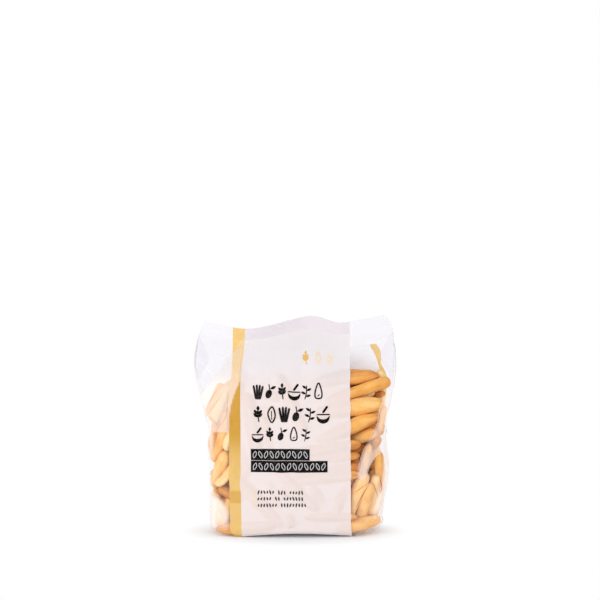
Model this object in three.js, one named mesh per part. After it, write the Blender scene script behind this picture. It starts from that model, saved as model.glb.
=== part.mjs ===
// A clear film bag of short breadsticks, standing on its own flat base.
//
// The bag is filled and sealed from a tube of thin polypropylene film. Its body is a deep rounded
// block that the breadsticks hold open, its sides fold inwards as gussets above the breadsticks,
// and its front and back come together in a wavy crimped fin along the top. The film and what it
// holds are one sealed thing, so the bag is one closed solid with the outer form of the film.
//
// Millimetres, +Z up, +X to the right of a person who faces the printed front, which looks
// towards -Y. The origin is on the surface that the bag stands on, under the middle of its box.

import * as THREE from "three";

// Driving dimensions

const CREST_HEIGHT = 169; // mean height of the cut edge along the top of the fin
const FIN_HALF_THICKNESS = 0.8; // the sealed fin, half its thickness
const FIN_START = 159; // height where front and back meet in the fin
const PANEL_CROWN = 2.8; // power of the bulge across front and back: higher is flatter

// Half the width of the bag, as height and distance from its middle line, left and right
const LEFT_REACH = [
  [0, 64],
  [3, 68],
  [9, 69.2],
  [54, 69.2],
  [84, 69.9],
  [103, 73.8],
  [118, 77.6],
  [134, 80.4],
  [152, 78.4],
  [161, 76],
  [CREST_HEIGHT, 72],
];
const RIGHT_REACH = [
  [0, 62],
  [3, 68],
  [9, 70.8],
  [27, 72.8],
  [36, 74.8],
  [53, 76.8],
  [80, 74],
  [94, 74.8],
  [107, 77.6],
  [132, 80.4],
  [150, 79.6],
  [164, 76.8],
  [CREST_HEIGHT, 71.6],
];

// Half the depth through the middle of the panels, half the depth between the fold lines at the
// four corners, and how far the sides bow out (or, as gussets, fold in), all by height
const HALF_DEPTH = [
  [0, 30],
  [2.5, 32.5],
  [9, 33.5],
  [25, 34],
  [62, 34.5],
  [95, 32],
  [118, 26],
  [134, 18.5],
  [148, 9],
  [FIN_START, FIN_HALF_THICKNESS],
  [CREST_HEIGHT, FIN_HALF_THICKNESS],
];
const FOLD_DEPTH = [
  [0, 22],
  [9, 24],
  [60, 25],
  [95, 22],
  [118, 15],
  [138, 7.5],
  [150, 3.2],
  [FIN_START, FIN_HALF_THICKNESS],
  [CREST_HEIGHT, FIN_HALF_THICKNESS],
];
const SIDE_BOW = [
  [0, 7],
  [9, 5],
  [60, 5],
  [88, 3.5],
  [104, 1.5],
  [118, 0],
  [127, -4],
  [138, -11],
  [150, -6],
  [FIN_START, 0],
  [CREST_HEIGHT, 0],
];

// The cut edge rises and dips along the bag, as distance from the middle and height
const TOP_EDGE = [
  [-74, 169],
  [-56, 165.6],
  [-40, 163.5],
  [-22, 165.6],
  [0, 171],
  [14, 173.2],
  [26, 170.6],
  [36, 168.2],
  [54, 171.4],
  [72, 174.2],
];
const EDGE_WAVE_START = 118; // height where the rise and dip of the top edge begins to show
const FIN_SWAY = 5; // how far the fin sways to front and back
const FIN_SWAY_LENGTH = 84; // one full sway along the fin
const FIN_SWAY_PHASE = 0.9; // radians
const FIN_SWAY_START = 138; // height where the sway begins

// Breadsticks lie against the film, which sinks between them
const STICK_REACH = 7.6; // how far to each side of a stick's middle line the film stays raised
const STICK_LENGTH = 54;
const FILM_SINK = 2.4; // how deep the film sinks where no stick holds it up
const FILL_HEIGHT = 128; // height of the heap of breadsticks
const FILL_FADE = 16; // height over which the relief dies out above and below

// Sticks on the front: middle of the stick across and up, and its slope in degrees. The back has
// the same ones turned half a turn about the upright axis.
const PANEL_STICKS = [
  [38, 124, 10],
  [48, 115, 16],
  [46, 102.5, 8],
  [41, 88, 21],
  [38, 74, 21],
  [65, 58, 97],
  [51, 33, 66],
  [60, 28, 77],
  [43, 8, 20],
  [-59, 100, 112],
  [-60, 66, 108],
  [-56, 52, 128],
  [-65, 34, 84],
  [-46, 20, 118],
  [-8, 116, -6],
  [-20, 98, 14],
  [0, 84, -12],
  [-22, 62, 28],
  [6, 54, -34],
  [16, 30, 42],
  [-14, 22, 8],
];
// Sticks on the sides: middle of the stick along the depth and up, and its slope in degrees
const SIDE_STICKS = [
  [-10, 96, 74],
  [9, 84, -62],
  [-4, 66, 18],
  [8, 48, 81],
  [-9, 40, -70],
  [3, 22, 24],
  [0, 9, -8],
];

// Grid of the surface: steps along it, and heights of its rows
const SIDE_STEPS = 5; // half of one side
const PANEL_STEPS = 36; // front or back, from fold to fold
const BASE_ROWS = [0, 0.8, 2, 3.6, 5.6, 8];
const BODY_ROW_STEP = 3;
const SHOULDER_ROWS = [148.5, 151, 153.5, 156, 158, 160, 163, 166, CREST_HEIGHT];

// Heights of all rows: close together round the base and the fin, evenly spaced between
function rowHeights() {
  const rows = [...BASE_ROWS];
  const lowest = BASE_ROWS[BASE_ROWS.length - 1];
  for (let h = lowest + BODY_ROW_STEP; h < SHOULDER_ROWS[0]; h += BODY_ROW_STEP) rows.push(h);
  return [...rows, ...SHOULDER_ROWS];
}

// Smooth curve through [at, value] pairs: a cubic whose slope at each inner pair is that of the
// line through its two neighbours
function curveThrough(pairs, at) {
  const last = pairs.length - 1;
  const here = Math.min(Math.max(at, pairs[0][0]), pairs[last][0]);
  let i = 0;
  while (i < last - 1 && here > pairs[i + 1][0]) i += 1;
  const slope = (k) => {
    const a = pairs[Math.max(k - 1, 0)];
    const b = pairs[Math.min(k + 1, last)];
    return (b[1] - a[1]) / (b[0] - a[0]);
  };
  const span = pairs[i + 1][0] - pairs[i][0];
  const t = (here - pairs[i][0]) / span;
  const rise = pairs[i + 1][1] - pairs[i][1];
  const bend = (slope(i) * span - rise) * (1 - t) + (rise - slope(i + 1) * span) * t;
  return pairs[i][1] + t * rise + t * (1 - t) * bend;
}

// The share of a sway or fade at a height: 0 below the start, 1 above the end, smooth between
function smoothStep(from, to, at) {
  return THREE.MathUtils.smoothstep(at, from, to);
}

// One point of the film before the sticks press on it. Height is the nominal height of the row;
// around runs from the middle of the left side (0) along the front to the middle of the right
// side (SIDE_STEPS * 2 + PANEL_STEPS); facing is -1 for the front half and 1 for the back half.
function filmPoint(height, around, facing) {
  const bow = curveThrough(SIDE_BOW, height);
  const left = curveThrough(LEFT_REACH, height) - Math.max(bow, 0);
  const right = curveThrough(RIGHT_REACH, height) - Math.max(bow, 0);
  const fold = curveThrough(FOLD_DEPTH, height);
  const depth = Math.max(curveThrough(HALF_DEPTH, height), fold);
  const halfWay = SIDE_STEPS + PANEL_STEPS / 2;
  const fromEnd = halfWay - Math.abs(around - halfWay);
  const hand = around < halfWay ? -1 : 1;
  let x;
  let y;
  if (fromEnd < SIDE_STEPS) {
    const share = fromEnd / SIDE_STEPS;
    x = hand * ((hand < 0 ? left : right) + bow * (1 - share * share));
    y = facing * fold * share;
  } else {
    const across = (around - halfWay) / (PANEL_STEPS / 2);
    const crown = 1 - Math.abs(across) ** PANEL_CROWN;
    x = (right - left) / 2 + (across * (right + left)) / 2;
    y = facing * (fold + (depth - fold) * crown);
  }
  const lift = smoothStep(EDGE_WAVE_START, CREST_HEIGHT, height);
  const z = height + lift * (curveThrough(TOP_EDGE, x) - CREST_HEIGHT);
  const sway = smoothStep(FIN_SWAY_START, CREST_HEIGHT, height);
  const wave = Math.sin((2 * Math.PI * x) / FIN_SWAY_LENGTH + FIN_SWAY_PHASE);
  return new THREE.Vector3(x, y + FIN_SWAY * sway * wave, z);
}

// How far the nearest of a set of sticks holds the film up at a point, from 0 between sticks to 1
// along the middle of one; it falls off smoothly across a stick and round its ends
function stickRise(sticks, across, up) {
  let rise = 0;
  for (const [middle, height, slope] of sticks) {
    const angle = THREE.MathUtils.degToRad(slope);
    const along =
      (across - middle) * Math.cos(angle) + (up - height) * Math.sin(angle);
    const aside =
      (up - height) * Math.cos(angle) - (across - middle) * Math.sin(angle);
    const end = (2 * along) / STICK_LENGTH;
    rise = Math.max(rise, 1 - (aside / STICK_REACH) ** 2 - end ** 4);
  }
  return smoothStep(0, 1, rise);
}

// How far the film sinks at a point whose outward direction, level with the floor, is given
function filmSink(point, outward) {
  const panel = stickRise(PANEL_STICKS, -Math.sign(outward.y || 1) * point.x, point.z);
  const side = stickRise(SIDE_STICKS, point.y, point.z);
  const rise = outward.y ** 2 * panel + outward.x ** 2 * side;
  const filled =
    smoothStep(0, FILL_FADE / 2, point.z) *
    (1 - smoothStep(FILL_HEIGHT, FILL_HEIGHT + FILL_FADE, point.z));
  return FILM_SINK * filled * (1 - rise);
}

// All points of the film, row by row. A row runs round the bag from the middle of the left side,
// along the front to the middle of the right side, and back along the back.
function filmRows() {
  const half = SIDE_STEPS * 2 + PANEL_STEPS;
  const rows = rowHeights().map((height) =>
    Array.from({ length: 2 * half }, (_, i) =>
      i <= half ? filmPoint(height, i, -1) : filmPoint(height, 2 * half - i, 1),
    ),
  );
  return rows.map((row) =>
    row.map((point, i) => {
      const before = row[(i + row.length - 1) % row.length];
      const after = row[(i + 1) % row.length];
      const along = after.clone().sub(before);
      const outward = new THREE.Vector3(along.y, -along.x, 0).normalize();
      return point.clone().addScaledVector(outward, -filmSink(point, outward));
    }),
  );
}

// The closed surface: bands of triangles between the rows, a flat base and the top of the fin.
// Both ends are closed by strips from front to back.
function bagGeometry() {
  const rows = filmRows();
  const round = rows[0].length;
  const index = [];
  const corner = (row, i) => row * round + ((i + round) % round);
  for (let row = 0; row < rows.length - 1; row += 1) {
    for (let i = 0; i < round; i += 1) {
      const low = corner(row, i);
      const lowNext = corner(row, i + 1);
      const high = corner(row + 1, i);
      const highNext = corner(row + 1, i + 1);
      index.push(low, lowNext, highNext, low, highNext, high);
    }
  }
  const close = (row, outward) => {
    for (let i = 0; i < round / 2; i += 1) {
      const front = corner(row, i);
      const frontNext = corner(row, i + 1);
      const back = corner(row, -i);
      const backNext = corner(row, -i - 1);
      const faces = [];
      if (front !== back) faces.push([front, frontNext, back]);
      if (frontNext !== backNext) faces.push([back, frontNext, backNext]);
      for (const [a, b, c] of faces) index.push(...(outward ? [a, b, c] : [a, c, b]));
    }
  };
  close(0, false);
  close(rows.length - 1, true);
  const geometry = new THREE.BufferGeometry();
  const flat = rows.flat().flatMap((point) => point.toArray());
  geometry.setAttribute("position", new THREE.Float32BufferAttribute(flat, 3));
  geometry.setIndex(index);
  geometry.computeVertexNormals();
  return geometry;
}

// The sealed bag: clear film, pale gold where the breadsticks show through it
function bag() {
  const filledFilm = new THREE.MeshStandardMaterial({
    color: "#efd9b4",
    roughness: 0.25,
    metalness: 0,
  });
  const mesh = new THREE.Mesh(bagGeometry(), filledFilm);
  mesh.name = "bag";
  return mesh;
}

const breadstickBag = new THREE.Group();
breadstickBag.add(bag());

export default breadstickBag;
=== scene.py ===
"""A clear film bag of short breadsticks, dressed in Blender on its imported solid.

The breadsticks are packed into the bag first. The film then drapes over them, and the inks, the
seam and the creases are carried on the film. All of it is worked out with numpy from the sizes
below, which are those of the bag's solid, and takes the place of that solid. Lengths are in
millimetres until mesh_object() turns them into metres.
"""

import functools
import math
from typing import NamedTuple

import bpy
import numpy as np
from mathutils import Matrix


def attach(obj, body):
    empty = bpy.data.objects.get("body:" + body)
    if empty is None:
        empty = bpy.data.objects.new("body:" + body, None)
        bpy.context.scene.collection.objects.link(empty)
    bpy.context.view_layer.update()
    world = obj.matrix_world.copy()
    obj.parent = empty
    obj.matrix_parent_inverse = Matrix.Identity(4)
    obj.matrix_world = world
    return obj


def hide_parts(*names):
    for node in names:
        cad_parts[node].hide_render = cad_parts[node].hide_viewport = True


bl_info = {
    "name": "Breadstick Bag",
    "version": (1, 0, 0),
    "blender": (4, 5, 0),
    "location": "3D View > Sidebar > Breadstick Bag",
    "description": "Makes a clear film bag of short breadsticks with its prints and its stage",
    "category": "Add Mesh",
}

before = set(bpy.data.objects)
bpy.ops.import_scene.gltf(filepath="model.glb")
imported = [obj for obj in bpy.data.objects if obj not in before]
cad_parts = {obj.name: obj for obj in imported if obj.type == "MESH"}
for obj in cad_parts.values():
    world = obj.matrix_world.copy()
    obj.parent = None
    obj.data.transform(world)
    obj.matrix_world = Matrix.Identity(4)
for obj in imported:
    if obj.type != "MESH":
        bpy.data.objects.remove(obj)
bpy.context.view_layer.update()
BODY = "root"
NODE = "bag"
MM = 0.001
TINY = 1e-9  # keeps a length that something is divided by off zero

# ---- Form of the bag: heights and distances from its middle line, as on its solid ----

CREST_HEIGHT = 169  # mean height of the cut edge along the top of the fin
FIN_START = 159  # height where front and back meet in the fin
FIN_HALF_THICKNESS = 0.12
PANEL_CROWN = 2.8  # power of the bulge across front and back: higher is flatter

# Half the width of the bag, as height and distance from its middle line, left and right
LEFT_REACH = [
    (0, 64), (3, 68), (9, 69.2), (54, 69.2), (84, 69.9), (103, 73.8), (118, 77.6), (134, 80.4),
    (152, 78.4), (161, 76), (CREST_HEIGHT, 72),
]
RIGHT_REACH = [
    (0, 62), (3, 68), (9, 70.8), (27, 72.8), (36, 74.8), (53, 76.8), (80, 74), (94, 74.8),
    (107, 77.6), (132, 80.4), (150, 79.6), (164, 76.8), (CREST_HEIGHT, 71.6),
]
# Half the depth through the middle of the front and back and at the fold lines, and how far the
# sides bow out (or, as gussets, fold in), all by height
HALF_DEPTH = [
    (0, 30), (2.5, 32.5), (9, 33.5), (25, 34), (62, 34.5), (95, 32), (118, 26), (134, 18.5),
    (148, 9), (FIN_START, FIN_HALF_THICKNESS), (CREST_HEIGHT, FIN_HALF_THICKNESS),
]
FOLD_DEPTH = [
    (0, 22), (9, 24), (60, 25), (95, 22), (118, 15), (138, 7.5), (150, 3.2),
    (FIN_START, FIN_HALF_THICKNESS), (CREST_HEIGHT, FIN_HALF_THICKNESS),
]
SIDE_BOW = [
    (0, 7), (9, 5), (60, 5), (88, 3.5), (104, 1.5), (118, 0), (127, -4), (138, -11), (150, -6),
    (FIN_START, 0), (CREST_HEIGHT, 0),
]
# The cut edge rises and dips along the bag, as distance from the middle and height
TOP_EDGE = [
    (-74, 169), (-56, 165.6), (-40, 163.5), (-22, 165.6), (0, 171), (14, 173.2), (26, 170.6),
    (36, 168.2), (54, 171.4), (72, 174.2),
]
EDGE_WAVE_START = 118  # height where that rise and dip begins to show
FIN_SWAY = 5  # how far the fin sways to front and back
FIN_SWAY_LENGTH = 84  # one full sway along the fin
FIN_SWAY_PHASE = 0.9  # radians
FIN_SWAY_START = 138  # height where the sway begins

# The front edge of the base arches off the floor: how far, about which place across, how far to
# each side of it, between which depths it rises, and up to which height the film follows it
ARCH_RISE = 3.0
ARCH_MIDDLE = 3.0
ARCH_REACH = 46.0
ARCH_DEPTHS = (-5, -20)
ARCH_TOP = 12

# Edges of the inks across the front and the back, as height and place across. The gold stripe
# lies left of the white panel on the front, and right of the white field on the back
STRIPE_LEFT = [
    (0, -46.8), (3, -49.6), (8, -51.6), (104, -52.4), (116, -51.8), (132, -50),
    (CREST_HEIGHT, -49.6),
]
STRIPE_RIGHT = [
    (0, -41.6), (14, -42.6), (95, -43.2), (130, -42.6), (150, -40.6), (CREST_HEIGHT, -39.8),
]
PANEL_RIGHT = [(0, 45.1), (60, 44.5), (132, 43.8), (CREST_HEIGHT, 43.8)]
BACK_PANEL_LEFT = [(0, -44), (CREST_HEIGHT, -46)]
BACK_STRIPE_LEFT = [
    (0, 46.5), (3, 52.5), (9, 57), (60, 60), (95, 64), (115, 69), (122, 71.4), (126, 70.4),
    (130, 69.2), (134, 67.8), (137, 66.6), (143, 62.8), (146.5, 60.8), (149, 60.4),
    (CREST_HEIGHT, 60),
]
BACK_STRIPE_RIGHT = [
    (0, 54), (3, 60.2), (9, 64.4), (27, 66.4), (60, 68), (95, 71), (115, 73), (122, 74.8),
    (126, 74.2), (130, 72.6), (134, 70.2), (137, 69.9), (143, 69), (146.5, 66.8), (149, 64.8),
    (CREST_HEIGHT, 65),
]
BACK_PRINT_TOP = 149  # the print on the back ends at this height

# Steps of the film's grid: half a side, the zones between the edges above, and runs of rows with
# their lowest and highest places
SIDE_STEPS = 14
FRONT_STEPS = (14, 8, 66, 24)
BACK_STEPS = (20, 80, 8, 10)
ROW_RUNS = ((0, 12, 18), (12, 156, 168), (156, CREST_HEIGHT, 46))


def curve_through(pairs, at):
    """Smooth curve through (at, value) pairs, for an array of places.

    Between two pairs it is the cubic whose slope at each inner pair is that of the line through
    its two neighbours.
    """
    knots, values = np.array(pairs, float).T
    last = len(knots) - 1
    here = np.clip(at, knots[0], knots[-1])
    i = np.clip(np.searchsorted(knots, here, side="left") - 1, 0, last - 1)
    before = np.maximum(np.arange(last + 1) - 1, 0)
    after = np.minimum(np.arange(last + 1) + 1, last)
    slope = (values[after] - values[before]) / (knots[after] - knots[before])
    span = knots[i + 1] - knots[i]
    share = (here - knots[i]) / span
    rise = values[i + 1] - values[i]
    bend = (slope[i] * span - rise) * (1 - share) + (rise - slope[i + 1] * span) * share
    return values[i] + share * rise + share * (1 - share) * bend


def smooth_step(start, end, at):
    """0 below the start, 1 above the end, and the cubic 3t^2 - 2t^3 between."""
    share = np.clip((np.asarray(at, float) - start) / (end - start), 0, 1)
    return share * share * (3 - 2 * share)


def between(band, at):
    """0 outside a band of four places and 1 inside it.

    It rises smoothly from the first place to the second, and falls from the third to the last.
    """
    start, risen, falling, end = band
    return smooth_step(start, risen, at) * smooth_step(end, falling, at)


def side_reach(height):
    """Bow of the sides, and how far both fold lines lie from the middle line, by height.

    Where a side bows out, the bow is taken off the reach of its fold lines.
    """
    bow = curve_through(SIDE_BOW, height)
    outwards = np.maximum(bow, 0)
    left = curve_through(LEFT_REACH, height) - outwards
    right = curve_through(RIGHT_REACH, height) - outwards
    return bow, left, right


def half_depths(height):
    """Half the depth of the bag at its fold lines and through its middle, by height."""
    fold = curve_through(FOLD_DEPTH, height)
    return fold, np.maximum(curve_through(HALF_DEPTH, height), fold)


def panel_depth(across, height):
    """Half depth of the bag at places across its front or back.

    It is the depth at the folds, plus a crown that falls off with a power of the distance from
    the middle.
    """
    _, left, right = side_reach(height)
    fold, middle = half_depths(height)
    share = np.clip((across - (right - left) / 2) / ((right + left) / 2), -1, 1)
    return fold + (middle - fold) * (1 - np.abs(share) ** PANEL_CROWN)


def base_arch(x, y):
    """How far the front edge of the base arches off the floor, at places on the base.

    It is a parabola across the bag, and fades out towards the middle of the base.
    """
    arch = np.maximum(1 - ((x - ARCH_MIDDLE) / ARCH_REACH) ** 2, 0)
    return ARCH_RISE * arch * smooth_step(*ARCH_DEPTHS, y)


# ---- Colour, nodes and meshes ----


def linear(hex_colour):
    """Linear RGBA of an sRGB hex value."""
    parts = [int(hex_colour[i : i + 2], 16) / 255 for i in (1, 3, 5)]
    curved = [c / 12.92 if c <= 0.04045 else ((c + 0.055) / 1.055) ** 2.4 for c in parts]
    return (*curved, 1.0)


def add_node(tree, kind, links=None, **settings):
    """Adds a node. Keys of links are the names or numbers of its inputs.

    What they hold is a socket, a node (for its first output) or a value. Other settings are
    properties of the node.
    """
    node = tree.nodes.new(kind)
    for name, value in settings.items():
        setattr(node, name, value)
    for name, value in (links or {}).items():
        if isinstance(value, bpy.types.Node):
            value = value.outputs[0]
        if isinstance(value, bpy.types.NodeSocket):
            tree.links.new(value, node.inputs[name])
        else:
            node.inputs[name].default_value = value
    return node


def new_material(name):
    """An empty node material and its node tree."""
    material = bpy.data.materials.new(name)
    material.use_nodes = True
    material.node_tree.nodes.clear()
    return material, material.node_tree


def mesh_object(name, points, faces, material, smooth=True, replaces=False):
    """Makes one piece from points in millimetres and arrays of quads or triangles.

    The faces point outwards already. The piece rides on the bag's body.
    """
    mesh = bpy.data.meshes.new(name)
    corners = np.concatenate([block.reshape(-1) for block in faces])
    sides = np.concatenate([np.full(len(block), block.shape[1]) for block in faces])
    starts = np.concatenate([[0], np.cumsum(sides)[:-1]])
    mesh.vertices.add(len(points))
    mesh.vertices.foreach_set("co", (points * MM).astype(np.float32).reshape(-1))
    mesh.loops.add(len(corners))
    mesh.loops.foreach_set("vertex_index", corners.astype(np.int32))
    mesh.polygons.add(len(sides))
    mesh.polygons.foreach_set("loop_start", starts.astype(np.int32))
    mesh.polygons.foreach_set("use_smooth", np.full(len(sides), smooth))
    mesh.update(calc_edges=True)
    mesh.validate()
    mesh.materials.append(material)
    piece = bpy.data.objects.new(name, mesh)
    bpy.context.scene.collection.objects.link(piece)
    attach(piece, BODY)
    if replaces:
        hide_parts(NODE)
    return piece


def store_attribute(piece, name, kind, values):
    """Stores one value, or one vector, for each vertex of a piece."""
    attribute = piece.data.attributes.new(name, kind, "POINT")
    key = "vector" if kind == "FLOAT_VECTOR" else "value"
    attribute.data.foreach_set(key, values.astype(np.float32).reshape(-1))


def grid_quads(rows, columns, closed=False, start=0):
    """Quads of a grid of points stored row by row, with its columns joined round if closed."""
    i, j = np.meshgrid(
        np.arange(rows - 1), np.arange(columns if closed else columns - 1), indexing="ij"
    )
    low = start + i * columns + j
    low_next = start + i * columns + (j + 1) % columns
    return np.stack([low, low_next, low_next + columns, low + columns], -1).reshape(-1, 4)


def grid_normals(grid, closed=False):
    """Outward unit normals of a grid of points: the cross product of its two tangents."""
    if closed:
        wrapped = np.concatenate([grid[:, -1:], grid, grid[:, :1]], 1)
        along = wrapped[:, 2:] - wrapped[:, :-2]
    else:
        along = np.gradient(grid, axis=1)
    up = np.gradient(grid, axis=0)
    normal = np.cross(along, up)
    return normal / np.maximum(np.linalg.norm(normal, axis=-1, keepdims=True), TINY)


# ---- Breadsticks: where they lie ----

STICK_LENGTH = 54.0
STICK_RADIUS = 5.5
CAP_SHARE = 0.8  # the round end of a stick reaches this share of its radius past its inner line
STICK_COUNT = 174  # how many are put in: those that don't find room are left out again
STICK_SEED = 7

# Loose sticks start at random places in this box, turned any way and tipped a little, with
# these ranges of length and radius, as shares of the two above, and of taper
LOOSE_BOX = ((-62, 62), (-18, 22), (8, 118))
LOOSE_TIP = 0.35  # radians
LOOSE_LENGTH = (0.86, 1.06)
LOOSE_RADIUS = (0.9, 1.14)
LOOSE_TAPER = (0.15, 0.45)
LOOSE_SKEW = 0.07
LOOSE_BAKE = (2.2, 2.4)  # the two powers of a beta distribution

# Then they settle. They grow from a share of their thickness to all of it over a share of the
# steps, and fall by so much a step between two shares of them
SETTLE_STEPS = 1200
START_SIZE = 0.45
GROWING = 0.45
FALLING = (0.2, 0.8)
FALL = 0.12
HELD_WEIGHT = 0.06  # how easily a listed stick is pushed, where a loose one has 1
HOMING = 0.3  # share of its way home that it goes back in a step
NEAR_REACH = 2.6  # further apart than this many radii, plus their inner lines, none touch
PARALLEL = 1e-6  # sticks closer to parallel than this count as if they weren't quite
FILM_GAP = 1.0  # room kept between a stick and the film
FLOOR_GAP = 0.6  # and above the base in addition
PUSH_BACK = 0.8  # share of what stands out of the film that a step takes back
HELD_PLACES = (0, 0.5, 1, 0.25, 0.75)  # shares of a stick's length that are kept in the film
WORST_OVERLAP = 2.2  # of two sticks that still overlap more than this, one is left out

# Top of the heap, by place across
HEAP_TOP = [(-80, 100), (-66, 113), (-57, 122), (-20, 127), (40, 131), (66, 132), (80, 126)]

# Sticks that lie against the clear film, listed one by one. Each end is a place across, a height
# and how deep the stick lies below the film. Then come its thickness as a share of
# STICK_RADIUS, its taper towards both ends, its skew, which thins the first end and thickens
# the second, and how far it is baked, from 0, pale, to 1, brown
SHOWN_STICKS = [
    # right of the panel, from the top down
    ((66.5, 127.8, 0), (13.5, 120.4, 0), 1.13, 0.48, 0, 0.66),
    ((76.3, 122.6, 0), (24.5, 106.6, 0), 0.9, 0.2, -0.22, 0.56),
    ((70.2, 105.8, 0), (16.5, 97.3, 0), 1.26, 0.36, 0, 0.38),
    ((66.4, 95.2, 0), (18, 76.5, 0), 1.18, 0.45, 0, 0.63),
    ((65, 83.6, 0), (17, 59, 30), 1.06, 0.25, 0, 0.42),
    ((52.4, 73.8, 0), (0, 68, 0), 0.86, 0.2, 0, 0.84),
    ((51.3, 65, 1), (-2, 60, 1), 0.76, 0.2, 0, 0.7),
    ((53, 56.3, 1), (0, 50, 1), 0.84, 0.3, 0, 1.0),
    ((71.8, 112.6, 3), (58, 106, 30), 0.5, 0.2, 0, 0.95),
    ((64.2, 112, 11), (24, 110, 14), 0.6, 0.2, 0, 0),
    ((66.2, 78.2, 2), (58, 62, 30), 0.72, 0.2, 0, 0.6),
    ((70.8, 103, 6), (67.8, 82, 5), 0.5, 0.2, 0, 0.3),
    ((61, 72, 9), (50, 44, 12), 0.66, 0.2, 0, 0.3),
    ((66.6, 67, 0), (66.5, 20, 16), 0.8, 0.2, 0, 0.4),
    ((65.2, 48.8, 3), (60, 15.5, 11), 0.78, 0.2, 0, 0.06),
    ((60.8, 42, 0), (52.3, 13, 9), 0.88, 0.3, 0.1, 0.3),
    ((56, 50.8, 0), (40.5, 13, 12), 1.14, 0.25, 0, 0.32),
    ((70, 12.8, 5), (35, 6, 0), 1.02, 0.25, 0, 0.46),
    ((50, 14.4, 1), (8, 17, 1), 0.66, 0.2, 0, 0.66),
    # behind the gaps between them, baked dark so that they also paint the shade deep in the gaps
    ((62, 121, 13), (8, 115, 13), 0.8, 0.2, 0, 0.9),
    ((66, 76, 22), (26, 84, 24), 0.8, 0.2, 0, 0.9),
    ((57, 70, 16), (26, 48, 22), 0.9, 0.2, 0, 1.0),
    ((52, 45, 15), (6, 41, 15), 0.84, 0.2, 0, 0.9),
    ((54, 26, 19), (4, 20, 19), 0.9, 0.2, 0, 0.9),
    ((69, 50, 20), (36, 64, 30), 0.9, 0.2, 0, 0.8),
    ((64, 20, 26), (60, 70, 32), 1.0, 0.2, 0, 0.8),
    # left of the stripe, from the top down
    ((-57.6, 120, 4), (-71, 95.8, 3), 0.8, 0.2, 0, 0.34),
    ((-51.8, 119.5, 0), (-65.5, 90, 0), 0.8, 0.16, 0, 0.1),
    ((-43, 121, 1), (-45.5, 92, 1), 0.9, 0.2, 0, 0.1),
    ((-51.8, 99, 0), (-66, 58.5, 4), 0.78, 0.2, 0, 0.36),
    ((-61, 95, 14), (-68.6, 60, 16), 0.85, 0.2, 0, 0.3),
    ((-44.5, 90, 2), (-56, 68, 3), 0.76, 0.2, 0, 0),
    ((-55.6, 68.4, 0), (-64, 36, 12), 1.04, 0.3, -0.1, 0.42),
    ((-44, 60.5, 1), (-61.6, 39.4, 0), 0.7, 0.2, 0, 0.22),
    # baked to the brown end, which also paints the shade of the dark gap here
    ((-61.2, 37, 2), (-40, 31, 2), 0.72, 0.2, 0, 1.0),
    ((-62.8, 32, 1), (-64.6, 36, 46), 0.8, 0.2, 0, 0.25),
    ((-51, 30, 6), (-58.5, 8, 2), 0.8, 0.2, 0, 0.34),
    ((-58, 5.5, 10), (-20, 5, 8), 0.74, 0.2, 0, 0.3),
    # behind the gaps between them, baked dark so that they also paint the shade deep in the gaps
    ((-61, 42, 20), (-26, 30, 20), 0.9, 0.2, 0, 0.95),
    ((-53, 12, 32), (-54, 60, 34), 1.0, 0.2, 0, 0.8),
    ((-61, 27, 14), (-24, 24, 17), 0.9, 0.2, 0, 0.5),
    ((-58, 12, 18), (-24, 10, 18), 0.9, 0.2, 0, 0.5),
]


def thickness_at(share, form):
    """Radius of a stick at a share of its length.

    The form of each stick is its radius, taper and skew: it thins towards both ends by a square
    law and from its second end to its first by a straight one.
    """
    place = 2 * share - 1
    return form[:, 0] * (1 - form[:, 1] * place**2) * (1 + form[:, 2] * place)


def tip_radius(form):
    """Radius that the taper leaves at the ends of a stick."""
    return form[:, 0] * (1 - form[:, 1])


def stick_contacts(ends, form, inner, pairs, grow):
    """Pairs of sticks that press on each other.

    Each stick is a straight line with a thickness. The nearest points of two lines give their
    distance, and they press where it is less than their two radii together. Returns the pairs,
    the shares of the nearest points, the direction and how far they overlap.
    """
    first, second = pairs
    middle = ends.mean(1)
    apart = np.linalg.norm(middle[first] - middle[second], axis=1)
    near = apart < (inner[first] + inner[second]) / 2 + NEAR_REACH * STICK_RADIUS
    i, j = first[near], second[near]
    line_i, line_j = ends[i, 1] - ends[i, 0], ends[j, 1] - ends[j, 0]
    start = ends[i, 0] - ends[j, 0]
    square_i, square_j = (line_i**2).sum(1), (line_j**2).sum(1)
    cross = (line_i * line_j).sum(1)
    start_i, start_j = (line_i * start).sum(1), (line_j * start).sum(1)
    divisor = np.maximum(square_i * square_j - cross * cross, PARALLEL * square_i * square_j)
    share_i = np.clip((cross * start_j - start_i * square_j) / divisor, 0, 1)
    share_j = np.clip((cross * share_i + start_j) / square_j, 0, 1)
    share_i = np.clip((cross * share_j - start_i) / square_i, 0, 1)
    gap = start + line_i * share_i[:, None] - line_j * share_j[:, None]
    distance = np.linalg.norm(gap, axis=1) + TINY
    thick = thickness_at(share_i, form[i]) + thickness_at(share_j, form[j])
    overlap = grow * thick - distance
    hit = overlap > 0
    direction = gap / distance[:, None]
    return [found[hit] for found in (i, j, share_i, share_j, direction, overlap)]


def push_apart(ends, contacts, weight):
    """How far each end moves so that pressing sticks part by half their overlap.

    A push is shared out by the weights of the two sticks and, on each, by how near the contact
    is to either end.
    """
    i, j, share_i, share_j, direction, overlap = contacts
    give_i = weight[i] * ((1 - share_i) ** 2 + share_i**2)
    give_j = weight[j] * ((1 - share_j) ** 2 + share_j**2)
    push = (0.5 * overlap / (give_i + give_j))[:, None] * direction
    move = np.zeros_like(ends)
    for stick, share, way in ((i, share_i, push), (j, share_j, -push)):
        np.add.at(move, (stick, 0), way * (weight[stick] * (1 - share))[:, None])
        np.add.at(move, (stick, 1), way * (weight[stick] * share)[:, None])
    return move


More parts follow.
